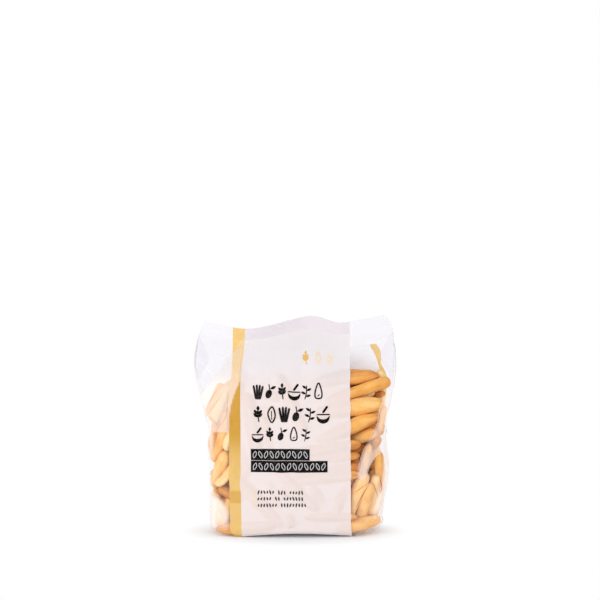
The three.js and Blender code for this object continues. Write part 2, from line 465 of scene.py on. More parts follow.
def keep_in_bag(ends, form, grow):
    """Pushes sticks that stand out of the film back in, at five places along each.

    A place is moved level with the floor by what it stands past the front, back or sides, less
    the stick's thickness there, and up or down by what it is below the base or above the heap.
    """
    for share in HELD_PLACES:
        place = ends[:, 0] * (1 - share) + ends[:, 1] * share
        thick = thickness_at(share, form) * grow + FILM_GAP
        bow, left, right = side_reach(place[:, 2])
        fold, _ = half_depths(place[:, 2])
        room = np.maximum(panel_depth(place[:, 0], place[:, 2]) - thick, 0)
        side = bow * (1 - np.minimum((place[:, 1] / fold) ** 2, 1))
        lowest = thick + FLOOR_GAP + base_arch(place[:, 0], place[:, 1] - thick)
        highest = curve_through(HEAP_TOP, place[:, 0]) + FILM_GAP - thick
        inside = np.stack(
            [
                np.clip(place[:, 0], thick - left - side, right + side - thick),
                np.clip(place[:, 1], -room, room),
                np.clip(place[:, 2], lowest, highest),
            ],
            1,
        )
        push = PUSH_BACK * (inside - place) / ((1 - share) ** 2 + share**2)
        ends[:, 0] += push * (1 - share)
        ends[:, 1] += push * share
    return ends


def shown_ends():
    """Ends and forms of the listed sticks, each as deep below the front film as it says."""
    rows = np.array([[*one, *other, *rest] for one, other, *rest in SHOWN_STICKS])
    form = np.stack([rows[:, 6] * STICK_RADIUS, rows[:, 7], rows[:, 8]], 1)
    ends = []
    for share, (across, height, deep) in ((0, rows[:, :3].T), (1, rows[:, 3:6].T)):
        sunk = deep + thickness_at(share, form) + FILM_GAP
        ends.append(np.stack([across, sunk - panel_depth(across, height), height], 1))
    return np.stack(ends, 1), form, rows[:, 9]


def loose_sticks(count, rng):
    """Middles, directions, lengths, forms and bake of loose sticks, drawn at random."""
    middle = np.stack([rng.uniform(low, high, count) for low, high in LOOSE_BOX], 1)
    turn, tip = rng.uniform(0, math.pi, count), rng.normal(0, LOOSE_TIP, count)
    lean = np.stack([np.cos(turn) * np.cos(tip), np.sin(tip), np.sin(turn) * np.cos(tip)], 1)
    length = rng.uniform(*LOOSE_LENGTH, count) * STICK_LENGTH
    form = [
        rng.uniform(*LOOSE_RADIUS, count) * STICK_RADIUS,
        rng.uniform(*LOOSE_TAPER, count),
        rng.normal(0, LOOSE_SKEW, count),
    ]
    return middle, lean, length, np.stack(form, 1), rng.beta(*LOOSE_BAKE, count)


def settle_sticks(count, seed):
    """Ends, forms, inner lengths and bake of all sticks once they have settled in the bag.

    Listed sticks hardly move. The others start thin at random places, grow to their full
    thickness while they push each other and the film apart, and fall a little with each step.
    """
    shown, shown_form, shown_bake = shown_ends()
    held = len(shown)
    middle, lean, length, form, bake = loose_sticks(count - held, np.random.default_rng(seed))
    shown_line = shown[:, 1] - shown[:, 0]
    shown_length = np.linalg.norm(shown_line, axis=1)
    middle = np.concatenate([shown.mean(1), middle])
    lean = np.concatenate([shown_line / shown_length[:, None], lean])
    length = np.concatenate([shown_length, length])
    form = np.concatenate([shown_form, form])
    bake = np.concatenate([shown_bake, bake])
    inner = length - 2 * CAP_SHARE * tip_radius(form)
    half = lean * inner[:, None] / 2
    ends = np.stack([middle - half, middle + half], 1)
    home = ends[:held].copy()
    weight = np.where(np.arange(count) < held, HELD_WEIGHT, 1.0)
    pairs = np.triu_indices(count, 1)
    fall_start, fall_end = (share * SETTLE_STEPS for share in FALLING)
    for step in range(SETTLE_STEPS):
        grow = min(1.0, START_SIZE + (1 - START_SIZE) * step / (GROWING * SETTLE_STEPS))
        if fall_start < step < fall_end:
            ends[held:, :, 2] -= FALL
        ends[:held] += HOMING * (home - ends[:held])
        contacts = stick_contacts(ends, form, inner, pairs, grow)
        ends = keep_in_bag(ends + push_apart(ends, contacts, weight), form, grow)
        middle = ends.mean(1)
        line = ends[:, 1] - ends[:, 0]
        half = line * (inner / np.linalg.norm(line, axis=1) / 2)[:, None]
        ends = np.stack([middle - half, middle + half], 1)
    keep = with_room(stick_contacts(ends, form, inner, pairs, 1.0), count, held)
    return ends[keep], form[keep], inner[keep], bake[keep]


def with_room(contacts, count, held):
    """Which sticks stay: of two that overlap too much, the later, if it isn't one of the listed
    sticks.
    """
    keep = np.ones(count, bool)
    i, j, _, _, _, overlap = contacts
    for k in np.argsort(-overlap):
        if overlap[k] > WORST_OVERLAP and keep[i[k]] and keep[j[k]]:
            keep[j[k]] = j[k] < held
    return keep


# ---- Breadsticks: their shape ----

STICK_RINGS = 26
STICK_SPOKES = 16
SPARE_AXIS = (0.31, 0.87, 0.38)  # any direction that no stick lies along

# Spread of the arc and of the S in a middle line, and the place where the arc changes sides
ARC = 0.9
ARC_BALANCE = 0.45
S_BEND = 0.4
# Waves of the radius along a stick: depth as a share of it, and radians from middle to tip
SLOW_WAVES = ((0.035, 3.3), (0.022, 8.1))
ANY_PHASE = 6.3  # a little over a full turn, in radians
BLUNTNESS = (7, 16)  # power that closes the tips: the higher, the blunter
# Rolled crease along a stick: depth as a share of its radius, width and drift in radians
CREASE = (0.10, 0.32, 0.5)
# Dents that wind round a stick: depth, waves round it, radians of twist from its middle to a
# tip, and radians where they start
DENTS = ((0.05, 2, 1.5, math.pi / 2), (0.03, 3, 9, 0), (0.022, 5, -14, 0))

# Extra bake on the side that lay up in the oven, and at the tips
TOP_BROWNING = 0.1
TIP_BROWNING = 0.1
PATTERN_STEP = 97.0  # distance between the patterns of two sticks


class Sticks(NamedTuple):
    """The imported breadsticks."""

    points: np.ndarray  # (stick, ring, spoke, 3), with a ring of no width at both tips
    angle: np.ndarray  # of each spoke
    place: np.ndarray  # of each ring, from -1 at one tip to 1 at the other
    middle: np.ndarray  # (stick, ring, 3)
    reach: np.ndarray  # greatest radius of each ring
    bake: np.ndarray  # of each stick
    top_side: np.ndarray  # angle of each stick's upper side in the oven


def stick_frames(ends):
    """Unit vectors along each stick and two across it."""
    line = ends[:, 1] - ends[:, 0]
    along = line / np.linalg.norm(line, axis=1, keepdims=True)
    aside = np.cross(along, SPARE_AXIS)
    aside /= np.linalg.norm(aside, axis=1, keepdims=True)
    return along, aside, np.cross(along, aside)


def stick_lines(ends, form, inner, rng):
    """Middle lines and radii of all sticks, from one tip (-1) to the other (1).

    A middle line is a straight one plus a shallow arc and a shallower S. The radius follows
    the stick's form, closes round the tips, and swells and narrows along it by two slow waves.
    """
    count = len(ends)
    along, aside, across = stick_frames(ends)
    place = np.sin(np.linspace(-1, 1, STICK_RINGS + 2) * math.pi / 2)[None, :]
    half = (inner / 2 + CAP_SHARE * tip_radius(form))[:, None]
    arc = rng.normal(0, ARC, (2, count, 1)) * (ARC_BALANCE - place**2)
    bend = rng.normal(0, S_BEND, (count, 1)) * np.sin(math.pi * place)
    middle = ends.mean(1)[:, None, :] + along[:, None, :] * (half * place)[..., None]
    middle = middle + aside[:, None, :] * (arc[0] + bend)[..., None]
    middle = middle + across[:, None, :] * arc[1][..., None]
    waves = 1.0
    for depth, pace in SLOW_WAVES:
        waves = waves + depth * np.sin(pace * place + rng.uniform(0, ANY_PHASE, (count, 1)))
    closing = np.sqrt(np.maximum(1 - np.abs(place) ** rng.uniform(*BLUNTNESS, (count, 1)), 0))
    radius, taper, skew = form.T[:, :, None]
    shape = (1 - taper * place**2) * (1 + skew * place) * waves
    return middle, radius * shape * closing, place


@functools.cache
def packed_sticks(count, seed):
    """The breadsticks, settled in the bag and shaped. They are worked out once.

    Rings of points stand round the middle lines. The section is round, with a lengthwise crease
    where the dough was rolled (a bell curve of the angle from it), and shallow dents that wind
    round the stick (sines of the angle and of the place along it).
    """
    ends, form, inner, bake = settle_sticks(count, seed)
    rng = np.random.default_rng(seed + 1)
    middle, thick, place = stick_lines(ends, form, inner, rng)
    _, aside, across = stick_frames(ends)
    angle = np.linspace(0, 2 * math.pi, STICK_SPOKES, endpoint=False)[None, None, :]
    along = place[:, :, None]

    def phase():
        return rng.uniform(0, 2 * math.pi, (len(ends), 1, 1))

    depth, width, drift = CREASE
    crease_at = phase() + rng.normal(0, drift, (len(ends), 1, 1)) * along
    from_crease = np.angle(np.exp(1j * (angle - crease_at)))
    relief = -depth * np.exp(-((from_crease / width) ** 2)) * (1 - along**4)
    for depth, waves, twist, start in DENTS:
        relief = relief + depth * np.sin(waves * angle + twist * along + phase() + start)
    reach = thick[:, :, None] * (1 + relief)
    ring = aside[:, None, None, :] * np.cos(angle)[..., None]
    ring = ring + across[:, None, None, :] * np.sin(angle)[..., None]
    points = middle[:, :, None, :] + ring * reach[..., None]
    return Sticks(points, angle, along, middle, reach.max(2), bake[:, None, None], phase())


def stick_faces(count):
    """Quads and triangles of all sticks: a tube of rings each, closed by a fan at both tips."""
    each = STICK_RINGS * STICK_SPOKES + 2
    spoke = np.arange(STICK_SPOKES)
    following = (spoke + 1) % STICK_SPOKES
    last = (STICK_RINGS - 1) * STICK_SPOKES
    near_tip = np.stack([np.full(STICK_SPOKES, each - 2), following, spoke], 1)
    far_tip = np.stack([np.full(STICK_SPOKES, each - 1), last + spoke, last + following], 1)
    tube = grid_quads(STICK_RINGS, STICK_SPOKES, closed=True)
    offset = (np.arange(count) * each)[:, None, None]
    return [
        (block[None] + offset).reshape(-1, block.shape[1])
        for block in (tube, np.concatenate([near_tip, far_tip]))
    ]


def build_sticks(settings):
    """All breadsticks as one joined mesh, with their bake and their own coordinates on it.

    A stick is browner on its upper side, by a cosine of the angle from it, and at its tips, by
    the sixth power of the place along it. Its own coordinates run round it and along it.
    """
    sticks = packed_sticks(settings.stick_count, settings.seed)
    count = len(sticks.points)

    def by_vertex(rings, tips):
        """Values of one stick after another: its rings without the tips, then both tips."""
        return np.concatenate([rings[:, 1:-1].reshape(count, -1, rings.shape[-1]), tips], 1)

    points = by_vertex(sticks.points, sticks.middle[:, [0, -1]]).reshape(-1, 3)
    piece = mesh_object(
        "breadsticks", points, stick_faces(count), baked_crust(), replaces=True
    )
    browning = TOP_BROWNING * np.cos(sticks.angle - sticks.top_side)
    browning = browning + TIP_BROWNING * np.abs(sticks.place) ** 6
    tone = (sticks.bake + browning)[..., None]
    tip_tone = np.repeat(sticks.bake + TIP_BROWNING, 2, 1)
    store_attribute(piece, "bake", "FLOAT", by_vertex(tone, tip_tone))
    own = [
        np.cos(sticks.angle) * STICK_RADIUS,
        np.sin(sticks.angle) * STICK_RADIUS,
        sticks.place * STICK_LENGTH / 2 + PATTERN_STEP * np.arange(count)[:, None, None],
    ]
    own = np.stack(np.broadcast_arrays(*own), -1)
    tip_own = np.repeat(own[:, -2, -1:], 2, 1)
    store_attribute(piece, "own_mm", "FLOAT_VECTOR", by_vertex(own, tip_own))


# Sizes of the patterns on the crust
MOTTLE_SIZE = 5.0
FLOUR_SIZE = 0.9
PORE_SIZE = 0.8
FURROW_SIZE = 2.6
MOTTLING = 0.95  # how far the mottle takes the bake up and down
FURROW_WEIGHT = 2.5  # of the furrows' relief, where the pores' is 1
CRUST_TONES = [
    (0.0, "#FBDFA8"), (0.28, "#F9CC83"), (0.52, "#F0B35B"), (0.76, "#E09A46"), (1.0, "#C27A34")
]


def baked_crust():
    """Breadstick crust: lean wheat dough with oil, baked dry.

    Matt, pale cream to golden brown by how long each one baked, mottled where it browned more,
    with fine pores, furrows along it and a floury bloom.
    """
    material, tree = new_material("baked_breadstick_crust")
    bake = add_node(tree, "ShaderNodeAttribute", attribute_name="bake")
    own = add_node(tree, "ShaderNodeAttribute", attribute_name="own_mm").outputs["Vector"]
    stretched = add_node(tree, "ShaderNodeMapping", {"Vector": own, "Scale": (1.0, 1.0, 0.35)})
    mottle = add_node(
        tree,
        "ShaderNodeTexNoise",
        {"Vector": stretched, "Scale": 1 / MOTTLE_SIZE, "Detail": 5.0, "Roughness": 0.55},
    )
    blotch = add_node(
        tree, "ShaderNodeMath", {0: mottle, 1: MOTTLING, 2: -MOTTLING / 2}, operation="MULTIPLY_ADD"
    )
    baked = add_node(
        tree, "ShaderNodeMath", {0: bake.outputs["Fac"], 1: blotch}, operation="ADD", use_clamp=True
    )
    crust = add_node(tree, "ShaderNodeValToRGB", {"Fac": baked})
    while len(crust.color_ramp.elements) < len(CRUST_TONES):
        crust.color_ramp.elements.new(0.5)
    for element, (place, colour) in zip(crust.color_ramp.elements, CRUST_TONES):
        element.position = place
        element.color = linear(colour)
    flour = add_node(
        tree, "ShaderNodeTexNoise", {"Vector": own, "Scale": 1 / FLOUR_SIZE, "Detail": 3.0}
    )
    dusting = add_node(
        tree,
        "ShaderNodeMapRange",
        {"Value": flour, "From Min": 0.58, "From Max": 0.75, "To Max": 0.2},
    )
    floury = add_node(
        tree, "ShaderNodeMix", {0: dusting, 6: crust, 7: linear("#FBE6C2")}, data_type="RGBA"
    )
    pores = add_node(
        tree,
        "ShaderNodeTexNoise",
        {"Vector": stretched, "Scale": 1 / PORE_SIZE, "Detail": 4.0, "Roughness": 0.6},
    )
    furrows = add_node(
        tree, "ShaderNodeTexNoise", {"Vector": stretched, "Scale": 1 / FURROW_SIZE, "Detail": 3.0}
    )
    relief = add_node(
        tree, "ShaderNodeMath", {0: furrows, 1: FURROW_WEIGHT, 2: pores}, operation="MULTIPLY_ADD"
    )
    bump = add_node(
        tree, "ShaderNodeBump", {"Height": relief, "Strength": 0.7, "Distance": 0.4 * MM}
    )
    shader = add_node(
        tree,
        "ShaderNodeBsdfPrincipled",
        {
            "Base Color": floury.outputs[2],
            "Roughness": 0.68,
            "IOR": 1.45,
            "Specular IOR Level": 0.35,
            "Normal": bump,
        },
    )
    add_node(tree, "ShaderNodeOutputMaterial", {"Surface": shader})
    return material


# ---- Film ----

FAR = 99.0  # stands for no limit
STICK_MARGIN = 12  # film further than this past a stick's ends doesn't meet it
MOST_BULGE = 1.2  # how far a stick may push the film out
FILM_CLEARANCE = 0.5  # room left between the film and a stick

# The film sinks between the sticks, at most so deep, on the sides and along the fold lines less,
# and not where it shines or is pleated
DRAPE_ROUNDS = 200
DRAPE_PULL = 0.06
DEEPEST_SINK = 2.6
SIDE_SINK = 0.3
DRAPE_BAND = (1, 12, 128, 146)
FOLD_HOLD = 7.0  # within this distance of a fold line the film is too stiff to sink
FOLD_STIFFNESS = 0.85
SHINE_STIFFNESS = 0.8
PLEAT_STIFFNESS = 0.7

# Wrinkles: seed, spacing, range of directions in radians, and depth on the heap and above it
WRINKLES = (
    (21, 8, (0, math.pi), 0.1, 0.1), (22, 17, (-0.6, 0.6), 0, 0.45), (23, 22, (1.1, 2.0), 0, 0.3)
)
WRINKLE_WAVES = 9
WRINKLE_LENGTHS = (0.7, 1.9)  # shares of the spacing
ON_HEAP = (3, 12, 118, 136)
ABOVE_HEAP = (112, 130, 156, 160)
CORNER_CALM = 0.8  # share of the wrinkles that the stiff corners don't have
WRINKLE_START = (0, 6)
PLEAT_STAND = 0.5  # how far the pleat and the shine stand off
SHINE_STAND = 0.3
SMOOTHING_ROUNDS = 2
BACKED_ROOM = (3.2, 0.4)  # a stick backs the film from the first of these gaps, fully at the second

# Crimps of the hot seal: spacing, depth and heights
CRIMP_PITCH = 1.7
CRIMP_DEPTH = 0.05
CRIMP_BAND = (159.1, 159.9, 167.1, 167.5)

# The film stands clear of the sticks at the upper left, and there its milky haze is painted glare,
# the reflection of the key light: left of a slanting edge given as height and place, up to a
# slanting line given as a place, its height there, its slope and how soft it is, and down to a
# level line, with a tail that goes on down the outer edge
SHINE_EDGE = [
    (60, -58), (83, -52.5), (96.6, -51.4), (104.4, -50.2), (114.3, -47.1), (124, -43.5), (160, -40),
]
SHINE_SOFT = 0.5
SHINE_TOP = (-48.6, 145.8, 1.32, 0.6)
SHINE_START = (82.5, 83.5)
TAIL_HEIGHTS = (48, 83)
TAIL_PLACES = (-63, -66)

# It also stands clear in a pleat down the right side, between two edges given as height and
# place, and so milky by height
PLEAT_LEFT = [
    (46, 51), (50, 50), (58, 52), (67, 55), (74, 58), (81, 61), (91, 66), (97, 67), (105, 69),
    (118, 75),
]
PLEAT_RIGHT = [
    (46, 55.5), (50, 57), (58, 60), (65, 65), (66.5, 69), (72, 68), (80, 68.5), (90, 70),
    (98, 72.5), (108, 75), (118, 76.5),
]
PLEAT_SOFT = (0.7, 0.9)
PLEAT_BAND = (43, 49, 112, 122)
PLEAT_MILK = [(46, 0.52), (60, 0.54), (67, 0.4), (72, 0.26), (78, 0.26), (84, 0.38), (118, 0.3)]

# The lower left corner is milky below an edge given as height and place, and so are the outer
# edges of the front film
CORNER_EDGE = [(0, -53), (10, -53), (20, -53.8), (27, -57), (31, -61), (36, -65), (42, -72)]
CORNER_SOFT = 3
CORNER_BAND = (1, 16, 34, 42)
LEFT_HAZE_PLACES = (-66, -69)
LEFT_HAZE_HEIGHTS = (98, 88)
LEFT_HAZE_SHARE = 0.7
RIGHT_HAZE = [(0, 58), (20, 63), (33, 66), (46, 70), (90, 70)]
RIGHT_HAZE_SOFT = 1.5
RIGHT_HAZE_BAND = (12, 24, 84, 92)
FRONT_FADE = (0.9, 0.1)  # shares of the front half of a side where all of these die out

# How milky it is there, from 0 to 1; in the shine the milkiness is painted glare
SHINE_PAINTED_GLARE = 0.55
CORNER_MILK = 0.7
FOLD_MILK = 0.15
FOLD_WIDTH = 0.8
FOLD_START = (4, 16)
# And over the clear stretches of the front film left and right of the print: low on the left,
# low on the right, above the heap, and in the seal
CLEAR_LEFT = (-51, -53)
CLEAR_RIGHT = (44.5, 46.5)
LEFT_MILK = 0.07
LEFT_MILK_HEIGHTS = (83.5, 82.5)
RIGHT_MILK = 0.12
RIGHT_MILK_HEIGHTS = (56, 44)
LOW_MILK_START = (0, 6)
TOP_MILK = 0.13
TOP_MILK_HEIGHTS = (120, 150)
SEAL_MILK = 0.05
SEAL_HEIGHTS = (158, 160)
WARM_GLOW_HEIGHTS = (132, 118)  # the film's haze has a painted warm tone up to here, as of light off the breadsticks


class Film(NamedTuple):
    """The draped film, by row and column."""

    grid: np.ndarray
    normals: np.ndarray
    # in the shine this share is painted glare
    milky: np.ndarray  # share of light that it scatters
    backed: np.ndarray  # 1 where it lies on a stick, 0 where it stands clear


def row_heights():
    """Nominal heights of the film's rows."""
    runs = [np.linspace(low, high, steps, endpoint=False) for low, high, steps in ROW_RUNS]
    return np.concatenate([*runs, [ROW_RUNS[-1][1]]])


def zone_edges(height, back=False):
    """Places across of the edges of the film's zones from left to right, one row a height."""
    _, left, right = side_reach(height)
    if back:
        inner = (BACK_PANEL_LEFT, BACK_STRIPE_LEFT, BACK_STRIPE_RIGHT)
    else:
        inner = (STRIPE_LEFT, STRIPE_RIGHT, PANEL_RIGHT)
    return np.stack([-left, *(curve_through(pairs, height) for pairs in inner), right], -1)


def spread(edges, steps):
    """Columns between zone edges: evenly spaced in each zone."""
    columns = []
    for zone, count in enumerate(steps):
        share = np.arange(count) / count
        columns.append(edges[:, zone, None] * (1 - share) + edges[:, zone + 1, None] * share)
    columns.append(edges[:, -1:])
    return np.concatenate(columns, 1)


def film_form():
    """Grid of the film before anything presses on it: (row, column, 3).

    A row goes round the bag from the middle of the left side along the front to the middle of
    the right side, and back along the back. Front and back are crowned between the fold lines,
    the sides bow out or fold in by a square law, the top edge rises and dips with the distance
    from the middle, the fin sways to front and back as a sine, and the front edge of the base
    arches off the floor as a parabola.
    """
    height = row_heights()
    tall = height[:, None]
    bow, left, right = side_reach(tall)
    fold, _ = half_depths(tall)
    front = spread(zone_edges(height), FRONT_STEPS)
    back = spread(zone_edges(height, back=True), BACK_STEPS)[:, ::-1]
    share = np.arange(SIDE_STEPS)[None, :] / SIDE_STEPS
    bulge = bow * (1 - share**2)
    side_y = fold * share
    left_side = -(left + bulge)
    right_side = right + bulge
    x = [left_side, front, right_side[:, :0:-1], right_side, back, left_side[:, :0:-1]]
    y = [
        -side_y,
        -panel_depth(front, tall),
        -side_y[:, :0:-1],
        side_y,
        panel_depth(back, tall),
        side_y[:, :0:-1],
    ]
    x, y = np.concatenate(x, 1), np.concatenate(y, 1)
    lift = smooth_step(EDGE_WAVE_START, CREST_HEIGHT, tall)
    z = tall + lift * (curve_through(TOP_EDGE, x) - CREST_HEIGHT)
    z = z + base_arch(x, y) * smooth_step(ARCH_TOP, 0, tall)
    sway = smooth_step(FIN_SWAY_START, CREST_HEIGHT, tall)
    y = y + FIN_SWAY * sway * np.sin(2 * math.pi * x / FIN_SWAY_LENGTH + FIN_SWAY_PHASE)
    return np.stack([x, y, z], -1)


def film_columns():
    """Numbers of the columns at the edges of the zones: front from left, back from right."""
    front = SIDE_STEPS + np.concatenate([[0], np.cumsum(FRONT_STEPS)])
    back = front[-1] + 2 * SIDE_STEPS + np.concatenate([[0], np.cumsum(BACK_STEPS[::-1])])
    return front, back


def side_columns():
    """Numbers of the columns of the left side and of the right side."""
    front, back = film_columns()
    left = np.concatenate([np.arange(front[0]), np.arange(back[-1], back[-1] + SIDE_STEPS - 1)])
    return left, np.arange(front[-1] + 1, back[0])


def room_over_sticks(grid, normals, sticks):
    """How far each film point can sink inwards before it meets a breadstick.

    Each stick is a row of spheres. Along the inward normal a point meets a sphere at
    b - sqrt(b^2 - (d^2 - r^2)), with d its distance to the sphere's middle and b the part of it
    along the normal.
    """
    flat, inward = grid.reshape(-1, 3), -normals.reshape(-1, 3)
    room = np.full(len(flat), FAR)
    for line, radii in zip(sticks.middle, sticks.reach):
        around = np.linalg.norm(line[0] - line[-1]) / 2 + STICK_MARGIN
        near = np.flatnonzero(((flat - line.mean(0)) ** 2).sum(1) < around**2)
        if not len(near):
            continue
        to_sphere = line[None, 1:-1] - flat[near, None]
        along = (to_sphere * inward[near, None]).sum(-1)
        under = along**2 - (to_sphere**2).sum(-1) + radii[None, 1:-1] ** 2
        meets = np.where(under > 0, along - np.sqrt(np.maximum(under, 0)), FAR)
        room[near] = np.minimum(room[near], meets.min(1))
    return np.maximum(room.reshape(grid.shape[:2]), -MOST_BULGE)


def distance_round(grid):
    """Distance of each film point along its row, from the row's first column on."""
    steps = np.linalg.norm(np.diff(grid, axis=1, prepend=grid[:, -1:]), axis=-1)
    return np.cumsum(steps, 1)


def from_folds(around):
    """Distance of each film point along its row from the nearest of the four fold lines."""
    front, back = film_columns()
    folds = around[:, [front[0], front[-1], back[0], back[-1]]]
    return np.abs(around[:, :, None] - folds[:, None, :]).min(-1)


def front_share():
    """1 for the columns of the front film, falling to 0 across the front half of both sides."""
    front, back = film_columns()
    column = np.arange(back[-1] + SIDE_STEPS)
    outside = np.maximum(front[0] - column, column - front[-1]) / SIDE_STEPS
    return smooth_step(*FRONT_FADE, outside)


def shine_share(grid):
    """Share of each front film point in the shine at the upper left, painted glare, with crisp
    edges.
    """
    x, z = grid[..., 0], grid[..., 2]
    place, height, slope, soft = SHINE_TOP
    beside = smooth_step(SHINE_SOFT, -SHINE_SOFT, x - curve_through(SHINE_EDGE, z))
    tail = smooth_step(*TAIL_HEIGHTS, z) * smooth_step(*TAIL_PLACES, x)
    above = np.maximum(smooth_step(*SHINE_START, z), tail)
    below = smooth_step(soft, -soft, z - height - slope * (x - place))
    return beside * above * below * front_share()


def pleat_share(grid):
    """Share of each front film point in the pleat down the right side."""
    x, z = grid[..., 0], grid[..., 2]
    left_soft, right_soft = PLEAT_SOFT
    beside = smooth_step(-left_soft, left_soft, x - curve_through(PLEAT_LEFT, z))
    beside = beside * smooth_step(right_soft, -right_soft, x - curve_through(PLEAT_RIGHT, z))
    return beside * between(PLEAT_BAND, z) * front_share()


def corner_share(grid):
    """Share of each front film point in the milky lower left corner and down the outer edges."""
    x, z = grid[..., 0], grid[..., 2]
    corner = smooth_step(CORNER_SOFT, -CORNER_SOFT, x - curve_through(CORNER_EDGE, z))
    left = smooth_step(*LEFT_HAZE_PLACES, x) * smooth_step(*LEFT_HAZE_HEIGHTS, z)
    right = smooth_step(-RIGHT_HAZE_SOFT, RIGHT_HAZE_SOFT, x - curve_through(RIGHT_HAZE, z))
    shares = [
        corner * between(CORNER_BAND, z),
        LEFT_HAZE_SHARE * left,
        right * between(RIGHT_HAZE_BAND, z),
    ]
    return np.max(shares, 0) * front_share()


def neighbour_mean(field):
    """Mean of each film point's four neighbours, over columns that close round the bag."""
    below = np.concatenate([field[:1], field[:-1]])
    above = np.concatenate([field[1:], field[-1:]])
    return (np.roll(field, 1, 1) + np.roll(field, -1, 1) + below + above) / 4


def drape(grid, room, around, deepest):
    """How far the film sinks between the breadsticks, by row and column.

    A stretched skin that is pulled in evenly: each round every point moves to the mean of its
    four neighbours plus a small pull, and stops short of the breadstick below it. The film
    stays in place along the base, above the heap, and where it shines or is pleated, and it
    hardly sinks along the folds.
    """
    limit = deepest * between(DRAPE_BAND, row_heights()[:, None])
    limit = limit * (1 - FOLD_STIFFNESS * np.exp(-((from_folds(around) / FOLD_HOLD) ** 2)))
    limit = limit * (1 - SHINE_STIFFNESS * shine_share(grid))
    limit = limit * (1 - PLEAT_STIFFNESS * pleat_share(grid))
    for side in side_columns():
        limit[:, side] *= SIDE_SINK
    most = np.minimum(room, limit)
    sink = np.zeros(room.shape)
    for _ in range(DRAPE_ROUNDS):
        sink = np.minimum(neighbour_mean(sink) + DRAPE_PULL, most)
    return sink


def crumple(across, up, seed, pitch, lean):
    """Sharp creases of a crumpled sheet, as a height from about -1 to 1.

    The mean of zigzag waves whose directions are drawn between two angles: their ridges are
    straight lines across those directions.
    """
    rng = np.random.default_rng(seed)
    height = np.zeros(np.broadcast(across, up).shape)
    for _ in range(WRINKLE_WAVES):
        angle = rng.uniform(*lean)
        length = pitch * rng.uniform(*WRINKLE_LENGTHS)
        phase = across * math.cos(angle) / length + up * math.sin(angle) / length
        phase = phase + rng.uniform(0, 1)
        height = height + 4 * np.abs(phase - np.floor(phase) - 0.5) - 1
    return height / math.sqrt(WRINKLE_WAVES)


def wrinkles(grid, around):
    """How far the film's creases sink it, or lift it where they are below 0.

    Each set of wrinkles has its depth on the heap and its depth above it. The stiff corners
    have few of them, and the pleat and the shine stand off.
    """
    height = row_heights()[:, None]
    on_heap, above_heap = between(ON_HEAP, height), between(ABOVE_HEAP, height)
    sink = 0
    for seed, pitch, lean, depth_on, depth_above in WRINKLES:
        depth = depth_on * on_heap + depth_above * above_heap
        sink = sink + depth * crumple(around, grid[..., 2], seed, pitch, lean)
    sink = sink * (1 - CORNER_CALM * corner_share(grid))
    sink = sink - PLEAT_STAND * pleat_share(grid) - SHINE_STAND * shine_share(grid) * on_heap
    return sink * smooth_step(*WRINKLE_START, height)


def film_haze(grid, around):
    """How milky each film point is, from 0 to 1.

    Most in the pleat, the shine and the corners, a little along the fold lines (a bell curve of
    the distance from them), and faintly over the clear stretches beside the print. In the shine it
    is painted glare.
    """
    x, height = grid[..., 0], row_heights()[:, None]
    milky = pleat_share(grid) * curve_through(PLEAT_MILK, grid[..., 2])
    # painted glare: the shine is made milky
    milky = milky + SHINE_PAINTED_GLARE * shine_share(grid)
    milky = np.maximum(milky, CORNER_MILK * corner_share(grid))
    folds = np.exp(-((from_folds(around) / FOLD_WIDTH) ** 2)) * smooth_step(*FOLD_START, height)
    milky = np.maximum(milky, FOLD_MILK * folds)
    left, right = smooth_step(*CLEAR_LEFT, x), smooth_step(*CLEAR_RIGHT, x)
    low = LEFT_MILK * left * smooth_step(*LEFT_MILK_HEIGHTS, height)
    low = low + RIGHT_MILK * right * smooth_step(*RIGHT_MILK_HEIGHTS, height)
    top = TOP_MILK * (left + right) * smooth_step(*TOP_MILK_HEIGHTS, height)
    seal = SEAL_MILK * (left + right) * smooth_step(*SEAL_HEIGHTS, height)
    return milky + (low * smooth_step(*LOW_MILK_START, height) + top) * front_share() + seal


@functools.cache
def draped_film(count, seed, deepest):
    """The film, pulled against the breadsticks, creased and crimped. It is worked out once.

    Sink and wrinkles are added, kept clear of the sticks and rounded off by taking the mean of
    each point and its neighbours. Points then move in along their normals, and the crimps of
    the seal are a sine of the height.
    """
    form = film_form()
    normals = grid_normals(form, closed=True)
    around = distance_round(form)
    room = room_over_sticks(form, normals, packed_sticks(count, seed)) - FILM_CLEARANCE
    sink = drape(form, room, around, deepest)
    sink = np.minimum(sink + wrinkles(form, around), room)
    for _ in range(SMOOTHING_ROUNDS):
        sink = (sink + neighbour_mean(sink)) / 2
    sink[0] = 0
    grid = form - normals * sink[..., None]
    height = row_heights()[:, None]
    crimp = CRIMP_DEPTH * np.sin(2 * math.pi * height / CRIMP_PITCH)
    grid[..., 1] += crimp * between(CRIMP_BAND, height)
    backed = smooth_step(*BACKED_ROOM, room - sink)
    return Film(grid, grid_normals(grid, closed=True), film_haze(form, around), backed)


def film_for(settings):
    """The draped film that the settings give."""
    return draped_film(settings.stick_count, settings.seed, settings.film_sink / MM)


